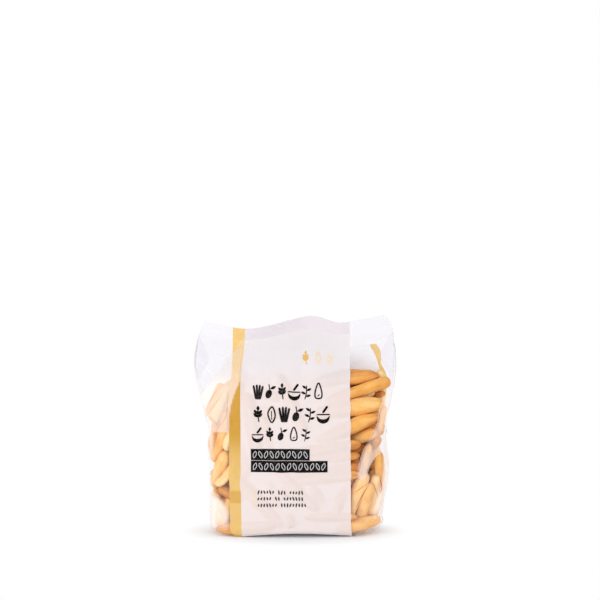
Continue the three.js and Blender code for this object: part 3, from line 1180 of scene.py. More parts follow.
def on_film(film, across, height, lift, back=False):
    """Points at places across and heights of the flat pattern, carried onto the draped film.

    The place is turned into a fractional row and column of the film's grid, and point and
    normal there are mixed from the four corners of that cell.
    """
    steps = BACK_STEPS if back else FRONT_STEPS
    edges = zone_edges(height, back)
    column = np.zeros(np.shape(across))
    for zone, count in enumerate(steps):
        low, high = edges[..., zone], edges[..., zone + 1]
        column = column + count * np.clip((across - low) / (high - low), 0, 1)
    front, rear = film_columns()
    column = rear[-1] - column if back else front[0] + column
    row = np.interp(height, row_heights(), np.arange(film.grid.shape[0]))
    i = np.clip(row.astype(int), 0, film.grid.shape[0] - 2)
    j = np.clip(column.astype(int), 0, film.grid.shape[1] - 2)
    up, aside = (row - i)[..., None], (column - j)[..., None]

    def mixed(field):
        below = field[i, j] * (1 - aside) + field[i, j + 1] * aside
        above = field[i + 1, j] * (1 - aside) + field[i + 1, j + 1] * aside
        return below * (1 - up) + above * up

    return mixed(film.grid) + mixed(film.normals) * lift


def bag_ends(rows, columns):
    """Faces that close a tube of rows: strips from front to back across the base and the top."""
    front = np.arange(columns // 2)
    back = (-front) % columns
    base = np.stack([front, back, (-front - 1) % columns, front + 1], 1)[1:-1]
    half = columns // 2
    base_ends = np.array([[0, columns - 1, 1], [half, half - 1, half + 1]])
    return [
        np.concatenate([block, block[:, ::-1] + (rows - 1) * columns])
        for block in (base, base_ends)
    ]


def build_film(settings):
    """The sealed film: the grid, closed by strips along the base and the top edge."""
    film = film_for(settings)
    rows, columns = film.milky.shape
    faces = [grid_quads(rows, columns, closed=True), *bag_ends(rows, columns)]
    points = film.grid.reshape(-1, 3)
    piece = mesh_object(
        "film_bag", points, faces, clear_film(settings), replaces=True
    )
    store_attribute(piece, "milky", "FLOAT", film.milky)
    # painted warm light on the haze, full low down
    store_attribute(piece, "painted_warm_glow", "FLOAT", smooth_step(*WARM_GLOW_HEIGHTS, film.grid[..., 2]))


SEAM_PLACE = -5.0  # of its left edge, as seen from the front
SEAM_WIDTH = 11.0
SEAM_HEIGHTS = (2.0, 157.0)
SEAM_STEPS = (260, 9)  # along it and across it
SEAM_STAND = 0.75  # how far its outer sheet and its inner one stand off the film
SEAM_BACKING = 0.3
SEAM_CRIMP = 0.08


def build_seam(settings):
    """The lengthwise seam down the middle of the back: a crimped strip, folded flat on the film.

    It is a closed band of film: an outer sheet that stands off by a hair, with waves across it
    as a sine of the height, and an inner one that lies on the bag.
    """
    film = film_for(settings)
    steps, wide = SEAM_STEPS
    height, share = np.meshgrid(
        np.linspace(*SEAM_HEIGHTS, steps), np.linspace(0, 1, wide), indexing="ij"
    )
    across = SEAM_PLACE + settings.seam_width / MM * share
    stand = SEAM_STAND + SEAM_CRIMP * np.sin(2 * math.pi * height / CRIMP_PITCH)
    outer = on_film(film, across, height, stand[..., None], back=True)
    inner = on_film(film, across, height, SEAM_BACKING, back=True)
    ring = np.concatenate([outer, inner[:, ::-1]], 1)
    columns = ring.shape[1]
    k = np.arange(wide - 1)
    near_end = np.stack([k + 1, columns - 2 - k, columns - 1 - k, k], 1)
    far_end = near_end[:, ::-1] + (steps - 1) * columns
    faces = [grid_quads(steps, columns, closed=True)[:, ::-1], np.concatenate([near_end, far_end])]
    mesh_object("back_seam", ring.reshape(-1, 3), faces, sealed_film())


FACE_ON_GLOSS = 0.007
EDGE_GLOSS = 0.6
GLOSS_POWER = 5.0
RIPPLE_SIZE = 5.0
RIPPLE_DEPTH = 0.5


def add_gloss(tree, sheet, roughness):
    """Lays a film's mirror gloss over the look of its sheet, and puts that out.

    The share of the mirror follows Schlick's law for a thin film: a little face on, and more by
    the fifth power of one minus the cosine towards its edge. Shallow ripples about 5 mm long
    break up its reflections.
    """
    place = add_node(tree, "ShaderNodeTexCoord")
    ripple = add_node(
        tree,
        "ShaderNodeTexNoise",
        {"Vector": place.outputs["Object"], "Scale": 1 / (RIPPLE_SIZE * MM), "Detail": 3.0},
    )
    bump = add_node(
        tree, "ShaderNodeBump", {"Height": ripple, "Strength": 0.35, "Distance": RIPPLE_DEPTH * MM}
    )
    facing = add_node(tree, "ShaderNodeLayerWeight", {"Blend": 0.5, "Normal": bump})
    steep = add_node(
        tree, "ShaderNodeMath", {0: facing.outputs["Facing"], 1: GLOSS_POWER}, operation="POWER"
    )
    share = add_node(
        tree,
        "ShaderNodeMath",
        {0: steep, 1: EDGE_GLOSS, 2: FACE_ON_GLOSS},
        operation="MULTIPLY_ADD",
        use_clamp=True,
    )
    mirror = add_node(
        tree,
        "ShaderNodeBsdfGlossy",
        {"Color": linear("#FFFFFF"), "Roughness": roughness, "Normal": bump},
    )
    mixed = add_node(tree, "ShaderNodeMixShader", {0: share, 1: sheet, 2: mirror})
    add_node(tree, "ShaderNodeOutputMaterial", {"Surface": mixed})


def clear_film(settings):
    """Bag film: cast polypropylene, heat sealed.

    Clear with a faint cool tint, glossy, and milky along folds and where it stands clear; in the
    shine that milkiness is painted glare. Low down the haze has a painted warm tone, as of light
    off the breadsticks, and there it throws more light back.
    """
    material, tree = new_material("clear_polypropylene_film")
    clear = add_node(tree, "ShaderNodeBsdfTransparent", {"Color": settings.film_tint})
    # painted warm light: low down the haze takes a warm tone
    painted_warm_glow = add_node(tree, "ShaderNodeAttribute", attribute_name="painted_warm_glow")
    haze_tone = add_node(
        tree,
        "ShaderNodeMix",
        {0: painted_warm_glow.outputs["Fac"], 6: linear("#F9F8FB"), 7: linear("#FDF0E6")},
        data_type="RGBA",
    )
    forward = add_node(
        tree, "ShaderNodeMapRange", {"Value": painted_warm_glow.outputs["Fac"], "To Min": 0.6, "To Max": 0.15}
    )
    back_scatter = add_node(tree, "ShaderNodeBsdfDiffuse", {"Color": haze_tone.outputs[2]})
    forward_scatter = add_node(tree, "ShaderNodeBsdfTranslucent", {"Color": haze_tone.outputs[2]})
    cloud = add_node(tree, "ShaderNodeMixShader", {0: forward, 1: back_scatter, 2: forward_scatter})
    milky = add_node(tree, "ShaderNodeAttribute", attribute_name="milky")
    haze = add_node(
        tree,
        "ShaderNodeMath",
        {0: milky.outputs["Fac"], 1: settings.film_haze},
        operation="ADD",
        use_clamp=True,
    )
    sheet = add_node(tree, "ShaderNodeMixShader", {0: haze, 1: clear, 2: cloud})
    add_gloss(tree, sheet, roughness=0.22)
    return material


def sealed_film():
    """Two layers of polypropylene film pressed together hot: a little milkier than one."""
    material, tree = new_material("sealed_polypropylene_film")
    clear = add_node(tree, "ShaderNodeBsdfTransparent", {"Color": linear("#F4F2F7")})
    cloud = add_node(tree, "ShaderNodeBsdfDiffuse", {"Color": linear("#FBF9FB")})
    sheet = add_node(tree, "ShaderNodeMixShader", {0: 0.3, 1: clear, 2: cloud})
    add_gloss(tree, sheet, roughness=0.2)
    return material


# ---- Inks: they lie on the inside of the film, so its gloss is over them ----

# How far fields of ink, marks, fine lines on marks, and creases stand off the film's surface,
# below 0 on its inside
FIELD_LIFT = -0.3
MARK_LIFT = -0.12
FINE_LIFT = -0.05
CREASE_LIFT = 0.05

# Share of what is behind that each field shows: the panel where nothing backs it and how much
# more where it is backed, the stripe, the stripe on the back, and the thin field on the back low
# down and near its top
PANEL_CLEAR = (0.03, 0.06)
STRIPE_CLEAR = 0.08
BACK_STRIPE_CLEAR = 0.1
BACK_CLEAR = (0.12, 0.95)
BACK_CLEAR_START = 130

# How much the inks take their second colour: the panel by height, at least so much of it, and
# more where a breadstick backs it, which paints a warm light low on the panel; the gold stripe
# by height, which paints shade on it; and the stripe on the back where a breadstick backs it
PANEL_PAINTED_LIGHT_HEIGHTS = (140, 112)
PANEL_PAINTED_LIGHT_LEAST = 0.6
# painted shade on the gold stripe by height: darkest at the base, and in bands where what lies
# behind it is in shade
STRIPE_PAINTED_SHADE = [
    (0, 1), (2.5, 0.1), (26.7, 0.04), (27.4, 0.6), (36.4, 0.6), (37.2, 0.04), (54, 0.1), (66, 0.36),
    (78, 0.9), (84, 1), (120, 1), (128, 0.12), (CREST_HEIGHT, 0),
]
STRIPE_IN_SHINE = 0.8  # share of its painted shade that the stripe loses in the shine, so that it is painted pale there as glare
BACK_STRIPE_LAID = 0.3

# The white under the base: steps from front to back, and how far it is from the film's edge and
# above the film
BASE_STEPS = 12
BASE_INSET = 0.4
BASE_LIFT = 0.3


def ink_sheet(name, film, columns, rows, material, clear, laid_and_painted_light):
    """One field of ink: a run of the film's own columns and rows, just inside the film.

    For the whole grid of the film, clear is the share of what is behind that shows through. The
    next array is the share of the ink's second colour: on the back it follows where the ink lies
    on breadsticks; on the panel it does too, and rises low down as a painted warm light; on the
    gold stripe it follows height alone as a painted shade.
    """
    first, last = columns
    part = (slice(rows), slice(first, last + 1))
    points = (film.grid + film.normals * FIELD_LIFT)[part]
    faces = [grid_quads(*points.shape[:2])]
    piece = mesh_object(name, points.reshape(-1, 3), faces, material)
    store_attribute(piece, "clear", "FLOAT", np.broadcast_to(clear, laid_and_painted_light.shape)[part])
    store_attribute(piece, "laid_and_painted_light", "FLOAT", laid_and_painted_light[part])


def build_fields(settings):
    """The white panel and gold stripe on the front, and both fields of the print on the back.

    The panel shows a little more where a breadstick backs it and has a painted warm light low
    down, the field on the back shows more towards its top, and the stripe takes a painted shade
    by height, less in the shine, where it is painted pale as glare.
    """
    film = film_for(settings)
    z, backed = film.grid[..., 2], film.backed
    front, back = film_columns()
    rows = len(z)
    back_rows = int(np.searchsorted(row_heights(), BACK_PRINT_TOP))
    # the panel's second colour, #EEE3DC, is a painted warm light low down and where breadsticks
    # back it
    white = flexo_ink("white_flexo_ink", settings.white_ink, linear("#EEE3DC"), glow_share=0.02)
    thin_white = flexo_ink(
        "thin_white_flexo_ink", linear("#FCFCFD"), linear("#F4EAE4"), glow_share=0.4
    )
    # the gold's second colour, #DCAE47, is the stripe's painted shade
    gold = flexo_ink("gold_flexo_ink", settings.gold_ink, linear("#DCAE47"), glow_share=0.1)
    least, more = PANEL_CLEAR
    panel_clear = least + more * backed
    # painted warm light low on the panel
    panel_laid_and_painted_light = PANEL_PAINTED_LIGHT_LEAST + (1 - PANEL_PAINTED_LIGHT_LEAST) * backed
    panel_laid_and_painted_light = panel_laid_and_painted_light * smooth_step(*PANEL_PAINTED_LIGHT_HEIGHTS, z)
    # painted shade on the stripe by height, taken back in the painted glare of the shine
    stripe_painted_shade = np.interp(z, *np.array(STRIPE_PAINTED_SHADE).T)
    stripe_painted_shade = stripe_painted_shade * (1 - STRIPE_IN_SHINE * shine_share(film.grid))
    low, high = BACK_CLEAR
    back_clear = low + (high - low) * smooth_step(BACK_CLEAR_START, BACK_PRINT_TOP, z)
    back_laid = BACK_STRIPE_LAID * backed
    ink_sheet("front_white_ink", film, front[2:4], rows, white, panel_clear, panel_laid_and_painted_light)
    ink_sheet("front_gold_ink", film, front[1:3], rows, gold, STRIPE_CLEAR, stripe_painted_shade)
    ink_sheet(
        "back_white_ink", film, back[2:4], back_rows, thin_white, back_clear, backed
    )
    ink_sheet(
        "back_gold_ink", film, back[1:3], back_rows, gold, BACK_STRIPE_CLEAR, back_laid
    )
    build_base_ink(film, front[2:4], white)


def build_base_ink(film, columns, material):
    """The white field goes on under the base, in straight lines from front edge to back edge.

    It has neither of the fields' attributes, so it shows nothing and has its colour in air.
    """
    first, last = columns
    edge = film.grid[0, first : last + 1]
    share = np.linspace(0, 1, BASE_STEPS)[:, None]
    y = (edge[:, 1] + BASE_INSET) * (1 - 2 * share)
    z = BASE_LIFT + edge[:, 2] * (1 - share)
    points = np.stack(np.broadcast_arrays(edge[:, 0], y, z), -1)[::-1]
    faces = [grid_quads(*points.shape[:2])]
    mesh_object("base_white_ink", points.reshape(-1, 3), faces, material)


def flexo_ink(name, free, laid_and_painted_light, glow_share):
    """Flexographic ink on the inside of the film: an even coat, thin enough to pass some light.

    It has one linear colour where there is air behind it and another where it lies on
    breadsticks, which low on the panel is a painted warm light and on the gold stripe a painted
    shade. The share of the light named clear goes straight through, and part of the rest glows
    through it softly.
    """
    material, tree = new_material(name)
    # share of the second colour, which paints light on the panel and shade on the gold stripe
    contact = add_node(tree, "ShaderNodeAttribute", attribute_name="laid_and_painted_light")
    colour = add_node(
        tree, "ShaderNodeMix", {0: contact.outputs["Fac"], 6: free, 7: laid_and_painted_light}, data_type="RGBA"
    )
    through = add_node(tree, "ShaderNodeBsdfTransparent", {"Color": colour.outputs[2]})
    glow = add_node(tree, "ShaderNodeBsdfTranslucent", {"Color": colour.outputs[2]})
    coat = add_node(tree, "ShaderNodeBsdfDiffuse", {"Color": colour.outputs[2], "Roughness": 0.6})
    body = add_node(tree, "ShaderNodeMixShader", {0: glow_share, 1: coat, 2: glow})
    clear = add_node(tree, "ShaderNodeAttribute", attribute_name="clear")
    mixed = add_node(tree, "ShaderNodeMixShader", {0: clear.outputs["Fac"], 1: body, 2: through})
    add_node(tree, "ShaderNodeOutputMaterial", {"Surface": mixed})
    return material


SPECK_SIZE = 0.5


def solid_ink(name, colour):
    """Dense flexographic ink: nothing shows through, slightly worn in fine specks."""
    material, tree = new_material(name)
    place = add_node(tree, "ShaderNodeTexCoord")
    specks = add_node(
        tree,
        "ShaderNodeTexNoise",
        {"Vector": place.outputs["Object"], "Scale": 1 / (SPECK_SIZE * MM), "Detail": 2.0},
    )
    worn = add_node(
        tree,
        "ShaderNodeMapRange",
        {"Value": specks, "From Min": 0.62, "From Max": 0.78, "To Max": 0.08},
    )
    shade = add_node(
        tree, "ShaderNodeMix", {0: worn, 6: linear(colour), 7: linear("#F0EAE8")}, data_type="RGBA"
    )
    ink = add_node(
        tree,
        "ShaderNodeBsdfPrincipled",
        {"Base Color": shade.outputs[2], "Roughness": 0.7, "Specular IOR Level": 0.0},
    )
    add_node(tree, "ShaderNodeOutputMaterial", {"Surface": ink})
    return material


# ---- Marks: small generic pictures and rows of grains, drawn as strokes ----

# Widths that keep the ends of strokes from closing to a point: the share of a bar's end that is
# cut off its round, and the least width of a leaf and a disc
BAR_END = 0.999
LEAF_END = 0.03
DISC_END = 0.001

# Each picture is a list of strokes in a box from -0.5 to 0.5 across and 0 to 1 up: the profile
# of its width, its points, and half its greatest width
PICTURES = {
    "ear": [
        ("bar", [(0.08, 0), (0, 0.5), (0, 0.82)], 0.04),
        ("leaf", [(0, 0.3), (-0.3, 0.55)], 0.1),
        ("leaf", [(0, 0.3), (0.3, 0.55)], 0.1),
        ("leaf", [(0, 0.48), (-0.28, 0.75)], 0.1),
        ("leaf", [(0, 0.48), (0.28, 0.75)], 0.1),
        ("leaf", [(0, 0.7), (0, 1.0)], 0.1),
    ],
    "bowl": [
        ("leaf", [(-0.46, 0.42), (-0.3, 0.16), (0, 0.06), (0.3, 0.16), (0.46, 0.42)], 0.14),
        ("bar", [(-0.48, 0.47), (0.48, 0.47)], 0.045),
        ("bar", [(-0.05, 0.56), (0.3, 0.98)], 0.075),
    ],
    "olive": [
        ("disc", [(-0.2, 0.08), (0.02, 0.62)], 0.22),
        ("leaf", [(0.02, 0.66), (0.46, 0.84)], 0.1),
        ("bar", [(0, 0.6), (-0.08, 0.98)], 0.035),
    ],
    "grain": [
        ("loop", [(0.05, 0), (0.3, 0.4), (0.08, 0.95), (-0.22, 0.55), (0.05, 0)], 0.05),
        ("bar", [(0.05, 0.15), (0.04, 0.7)], 0.03),
    ],
    "sprig": [
        ("bar", [(-0.12, 0), (0, 0.4), (0.02, 0.9)], 0.035),
        ("leaf", [(-0.05, 0.2), (0.34, 0.3)], 0.085),
        ("leaf", [(-0.02, 0.35), (-0.4, 0.5)], 0.085),
        ("leaf", [(0.01, 0.55), (0.38, 0.7)], 0.085),
        ("leaf", [(0.02, 0.68), (-0.3, 0.88)], 0.085),
    ],
    "drop": [
        ("loop", [(0, 1), (0.24, 0.5), (0.2, 0.12), (-0.2, 0.12), (-0.24, 0.5), (0, 1)], 0.05),
        ("leaf", [(-0.08, 0.2), (0.1, 0.35)], 0.04),
    ],
    "bundle": [
        ("bar", [(-0.12, 0), (-0.34, 0.92)], 0.075),
        ("bar", [(-0.03, 0), (-0.09, 0.98)], 0.075),
        ("bar", [(0.06, 0), (0.14, 0.96)], 0.075),
        ("bar", [(0.14, 0), (0.37, 0.88)], 0.075),
        ("bar", [(-0.3, 0.34), (0.3, 0.3)], 0.045),
    ],
}
PICTURE_WIDTH = 0.8605  # of that box, as a share of its height
PICTURE_WEIGHT = 0.9  # share of their width that the strokes are drawn with
PICTURE_STEPS = 14  # along a stroke, and twice as many round a loop

# Rows of pictures: height, how tall they are, from one to the next, place of the first, names
PICTURE_ROWS = [
    (109.6, 12.6, 9.6, -29.2, ("bundle", "olive", "ear", "bowl", "sprig", "drop")),
    (91.6, 13.2, 10.3, -29.0, ("ear", "grain", "bundle", "olive", "sprig", "bowl")),
    (76.6, 11.4, 9.5, -29.2, ("bowl", "ear", "olive", "drop", "sprig")),
]
# Gold pictures near the top, drawn in two golds: name, place, height, how tall
GOLD_PICTURE = ("ear", 8.6, 135.4, 9.4)
PALE_GOLD_PICTURES = [("drop", 18.6, 136.0, 8.2), ("sprig", 28.0, 135.6, 8.8)]

# Black strips with pale outlines of grains: lowest and highest, left and right, how many grains
STRIPS = [(61.7, 70.8, -34.8, 11.8, 10), (52.2, 61.3, -34.8, 26.0, 13)]
STRIP_STEPS = (60, 9)  # along a strip and across it
STRIP_MARGIN = 1.0
STRIP_GRAIN_TIP = (0.9, 2.7)  # of a leaning grain, from its middle
STRIP_GRAIN_BELLY = (1.25, -0.2)
STRIP_GRAIN_LINE = 0.26
STRIP_GRAIN_STEPS = 18

# Rows of small dark grains in groups: height, place of the first, how many in each group
GRAIN_ROWS = [(36.3, -28.6, (6, 3, 5)), (31.2, -28.6, (5, 2, 7)), (26.0, -28.6, (7, 9))]
GRAIN_PITCH = 2.3
GRAIN_HEIGHT = 3.3
GRAIN_HEIGHTS = (0.7, 1.15)  # shares of that
GRAIN_LEAN = 0.7
GRAIN_HALF_WIDTH = 0.6
GRAIN_STEPS = 7
GRAIN_SEED = 5
BULLET_PLACE = -32.2  # a gold dot stands before each row
BULLET_RADIUS = 1.0


def stroke(kind, points, half_width, steps=PICTURE_STEPS):
    """Points of one stroke: (along, across, 2).

    Its middle line runs through the points as a smooth curve, which for a loop goes on past
    both ends. Half its width follows a profile along it: even with round ends (bar), even
    (loop), a sine (leaf) or half a circle (disc).
    """
    knots = np.array(points, float)
    if kind == "loop":
        knots = np.concatenate([knots[-2:-1], knots, knots[1:2]])
    chords = np.linalg.norm(np.diff(knots, axis=0), axis=1)
    lengths = np.concatenate([[0], np.cumsum(chords)])
    start, end = (lengths[1], lengths[-2]) if kind == "loop" else (0, lengths[-1])
    share = np.linspace(0, 1, steps)
    at = start + share * (end - start)
    line = np.stack([curve_through(np.stack([lengths, knots[:, k]], 1), at) for k in (0, 1)], 1)
    along = np.gradient(line, axis=0)
    along /= np.linalg.norm(along, axis=1, keepdims=True)
    aside = np.stack([-along[:, 1], along[:, 0]], 1)
    profiles = {
        "bar": np.sqrt(1 - BAR_END * np.abs(2 * share - 1) ** 12),
        "loop": np.ones(steps),
        "leaf": np.maximum(np.sin(math.pi * share), LEAF_END),
        "disc": np.sqrt(np.maximum(1 - (2 * share - 1) ** 2, DISC_END)),
    }
    reach = half_width * profiles[kind][:, None] * np.array([-1, 0, 1])
    return line[:, None, :] + aside[:, None, :] * reach[..., None]


def picture_strokes(name, across, height, tall):
    """Strokes of one picture, in millimetres, standing at a place on the front."""
    made = []
    for kind, points, half_width in PICTURES[name]:
        steps = PICTURE_STEPS * (2 if kind == "loop" else 1)
        scaled = np.array(points) * tall * np.array([PICTURE_WIDTH, 1])
        drawn = stroke(kind, scaled, half_width * tall * PICTURE_WEIGHT, steps)
        made.append(drawn + np.array([across, height]))
    return made


def rows_of_pictures():
    """Strokes of all black pictures, row by row at an even pitch."""
    made = []
    for height, tall, pitch, first, names in PICTURE_ROWS:
        for k, name in enumerate(names):
            made += picture_strokes(name, first + k * pitch, height, tall)
    return made


def strip_stroke(low, high, left, right):
    """An even rectangle as a stroke."""
    x, z = np.meshgrid(
        np.linspace(left, right, STRIP_STEPS[0]),
        np.linspace(high, low, STRIP_STEPS[1]),
        indexing="ij",
    )
    return np.stack([x, z], -1)


def strip_grains(low, high, left, right, count):
    """Outlines of the grains on a strip: loops at an even pitch that lean left and right."""
    made = []
    pitch = (right - left - 2 * STRIP_MARGIN) / count
    lean, tall = STRIP_GRAIN_TIP
    belly = np.array(STRIP_GRAIN_BELLY)
    for k in range(count):
        middle = np.array([left + STRIP_MARGIN + (k + 0.5) * pitch, (low + high) / 2])
        tip = np.array([lean * (-1) ** k, tall])
        loop = [middle - tip, middle + belly, middle + tip, middle - belly, middle - tip]
        made.append(stroke("loop", loop, STRIP_GRAIN_LINE, STRIP_GRAIN_STEPS))
    return made


def rows_of_grains():
    """Discs of the small dark grains, of random height and lean, with a gap after each group."""
    rng = np.random.default_rng(GRAIN_SEED)
    made = []
    for height, at, groups in GRAIN_ROWS:
        for group in groups:
            for _ in range(group):
                lean = rng.uniform(-GRAIN_LEAN, GRAIN_LEAN)
                half = GRAIN_HEIGHT * rng.uniform(*GRAIN_HEIGHTS) / 2
                ends = [(at - lean, height - half), (at + lean, height + half)]
                made.append(stroke("disc", ends, GRAIN_HALF_WIDTH, GRAIN_STEPS))
                at += GRAIN_PITCH
            at += GRAIN_PITCH
    return made


def bullet(height):
    """A round dot before a row of grains: a disc as tall as it is wide."""
    ends = [(BULLET_PLACE, height - BULLET_RADIUS), (BULLET_PLACE, height + BULLET_RADIUS)]
    return stroke("disc", ends, BULLET_RADIUS, GRAIN_STEPS)


def mark_piece(name, film, strokes, material, lift):
    """One mesh from many strokes, carried onto the film."""
    points, faces, start = [], [], 0
    for drawn in strokes:
        placed = on_film(film, drawn[..., 0], drawn[..., 1], lift)
        points.append(placed.reshape(-1, 3))
        faces.append(grid_quads(*drawn.shape[:2], start=start)[:, ::-1])
        start += len(points[-1])
    mesh_object(name, np.concatenate(points), faces, material)


def build_marks(settings):
    """Pictures, black strips with pale grains, rows of small grains, and gold marks."""
    film = film_for(settings)
    black = solid_ink("black_flexo_ink", "#080606")
    pale = solid_ink("white_line_ink", "#C9C6C4")
    brown = solid_ink("dark_line_ink", "#332B28")
    gold = solid_ink("gold_line_ink", "#E3B45C")
    pale_gold = solid_ink("pale_gold_line_ink", "#F3DBA6")
    strips = [strip_stroke(*strip) for *strip, _ in STRIPS]
    grains = [outline for strip in STRIPS for outline in strip_grains(*strip)]
    pale_marks = [line for picture in PALE_GOLD_PICTURES for line in picture_strokes(*picture)]
    pale_marks += [bullet(height) for height, *_ in GRAIN_ROWS]
    gold_ear = picture_strokes(*GOLD_PICTURE)
    mark_piece("front_pictures", film, rows_of_pictures(), black, MARK_LIFT)
    mark_piece("front_strips", film, strips, black, MARK_LIFT)
    mark_piece("front_strip_grains", film, grains, pale, FINE_LIFT)
    mark_piece("front_grain_rows", film, rows_of_grains(), brown, MARK_LIFT)
    mark_piece("front_gold_ear", film, gold_ear, gold, MARK_LIFT)
    mark_piece("front_gold_marks", film, pale_marks, pale_gold, MARK_LIFT)


# ---- Creases: slivers that lie on the film, painted highlights and painted shade ----

CREASE_STEPS = 24

# Sharp creases where the film bends, drawn white as painted highlights: places across and
# heights, and half their width
CREASES = [
    ([(71.2, 114), (70.2, 109), (67.3, 99.5), (65.7, 89.6), (61.6, 81.7), (58.3, 75.9)], 0.45),
    ([(58.3, 75.9), (54.8, 69.1), (52.3, 61.7), (49.5, 52.6), (49, 49)], 0.5),
    ([(66, 67), (64.5, 64.7), (60.1, 58.6), (57.1, 50.7), (56.4, 47)], 0.5),
    ([(76.7, 104.4), (72.5, 94), (68.4, 85)], 0.3),
    ([(70.5, 66), (71.6, 58), (71, 46)], 0.5),
    ([(-66.5, 32), (-61, 20), (-55, 8)], 0.5),
    ([(-67, 62), (-66, 44), (-64, 32)], 0.4),
    ([(-72, 152), (-64, 147), (-54, 145)], 0.25),
    ([(-76, 138), (-68, 131), (-62, 122)], 0.25),
    ([(52, 153), (62, 150), (74, 152)], 0.25),
]

# Sharp folds seen edge on, which let less light through, tinted tan as painted shade
FOLD_LINES = [
    ([(-71, 97.5), (-66, 93.8), (-60, 88)], 0.17),
    ([(-54.5, 118.5), (-58, 112), (-62, 106), (-66, 100.5), (-69, 96.5)], 0.15),
    ([(-52.8, 117), (-52.9, 104), (-54.4, 95.5), (-57.7, 90), (-60.5, 86.5), (-64, 79)], 0.14),
    ([(-56, 120.8), (-60, 118), (-65, 110.5), (-69.5, 103), (-71.3, 98)], 0.14),
    ([(67, 48.5), (68.5, 43), (69, 38.5), (67, 33)], 0.4),
    ([(60.5, 46), (64, 38), (66.5, 30)], 0.25),
    ([(60, 44.5), (53, 39.5), (46, 34)], 0.25),
    ([(59.5, 43.5), (54, 33), (48, 21)], 0.45),
    ([(69.5, 103), (67, 96), (66, 90), (61.4, 81), (58, 74)], 0.25),
]


def build_creases(settings):
    """Fine creases and folds in the film, each a leaf-shaped sliver along a smooth curve: the
    creases white as painted highlights, the folds tan as painted shade.
    """
    film = film_for(settings)
    creased = creased_film("creased_film_painted_highlight", "#FFFFFF", painted_highlight=0.26)
    folded = creased_film("fold_lines_painted_shade", "#D9B78F", painted_highlight=0)
    for name, lines, material in (
        ("film_creases", CREASES, creased), ("film_fold_lines", FOLD_LINES, folded)
    ):
        strokes = [stroke("leaf", *line, CREASE_STEPS) for line in lines]
        mark_piece(name, film, strokes, material, CREASE_LIFT)


def creased_film(name, tint, painted_highlight):
    """Polypropylene film bent sharply: a tint for what passes, which on the folds is painted shade,
    and a share of white, which on the creases is a painted highlight.
    """
    material, tree = new_material(name)
    clear = add_node(tree, "ShaderNodeBsdfTransparent", {"Color": linear(tint)})
    white = add_node(tree, "ShaderNodeBsdfDiffuse", {"Color": linear("#FFFAF6")})
    sheet = add_node(tree, "ShaderNodeMixShader", {0: painted_highlight, 1: clear, 2: white})
    add_node(tree, "ShaderNodeOutputMaterial", {"Surface": sheet})
    return material


# ---- Stage: lengths are in metres unless their name says otherwise ----

CAMERA_DISTANCE_MM = 1400.0
CAMERA_TILT = math.radians(3)
CAMERA_AIM_MM = (4.2, 0.0, 186.2)
CAMERA_LENS = 105.0
SENSOR_WIDTH = 36.0
FLOOR_HALF = 6.0
# The floor's painted glow, light that it gives off itself, rises over these distances from the
# bag, on ovals that are so much wider than deep; beyond them it lifts the bag's shadow off the
# floor
SWEEP_FADE_MM = (36.0, 66.0)
SWEEP_OVAL = (0.7, 1.0, 1.0)
LIGHT_TARGET = (0, 0, 0.08)
SOFTBOX_SIZE = 2.0
KEY_PLACE = (-1.0, -1.9, 0.7)
FILL_PLACE = (1.8, -1.2, 1.0)
CEILING_PLACE = (0, 0, 2)
CEILING_ANGLE = math.radians(120)
# Brightness of the surroundings in front of the bag as a share of that behind it, between two
# depths of the direction, and overhead as a share of that at the side, between two heights of it
FRONT_SHARE = 0.84
FRONT_DEPTHS = (-0.6, 0.5)
OVERHEAD_SHARE = 0.6
OVERHEAD_HEIGHTS = (0.1, 0.9)
FILM_LAYERS = 32  # surfaces with see-through parts that light may pass one after another


def build_camera(lens):
    """The camera: a long lens, nearly level, that looks at a point above the bag."""
    data = bpy.data.cameras.new("camera")
    data.lens = lens
    data.sensor_width = SENSOR_WIDTH
    camera = bpy.data.objects.new("camera", data)
    bpy.context.scene.collection.objects.link(camera)
    aim_x, aim_y, aim_z = CAMERA_AIM_MM
    camera.location = (
        aim_x * MM,
        (aim_y - CAMERA_DISTANCE_MM * math.cos(CAMERA_TILT)) * MM,
        (aim_z + CAMERA_DISTANCE_MM * math.sin(CAMERA_TILT)) * MM,
    )
    camera.rotation_euler = (math.pi / 2 - CAMERA_TILT, 0, 0)
    bpy.context.scene.camera = camera


def add_light(name, kind, place, strength):
    """A light of one kind at a place, and its data."""
    data = bpy.data.lights.new(name, kind)
    data.energy = strength
    lamp = bpy.data.objects.new(name, data)
    lamp.location = place
    bpy.context.scene.collection.objects.link(lamp)
    return lamp, data


def softbox(name, place, watts):
    """A large square light that faces the bag: tilted and turned by the angles of its place."""
    lamp, data = add_light(name, "AREA", place, watts)
    data.shape = "SQUARE"
    data.size = SOFTBOX_SIZE
    x, y, z = np.array(place, float) - np.array(LIGHT_TARGET, float)
    lamp.rotation_euler = (math.atan2(math.hypot(x, y), z), 0, math.atan2(x, -y))


def ceiling_light(strength):
    """Even light from straight above, which whitens the floor out to the horizon."""
    _, data = add_light("ceiling_light", "SUN", CEILING_PLACE, strength)
    data.angle = CEILING_ANGLE


def build_floor():
    """A large white floor that glows away from the bag: a painted light."""
    mesh = bpy.data.meshes.new("floor")
    corners = [(x * FLOOR_HALF, y * FLOOR_HALF, 0) for x, y in ((-1, -1), (1, -1), (1, 1), (-1, 1))]
    mesh.from_pydata(corners, [], [(0, 1, 2, 3)])
    floor = bpy.data.objects.new("floor", mesh)
    bpy.context.scene.collection.objects.link(floor)
    mesh.materials.append(paper_sweep())


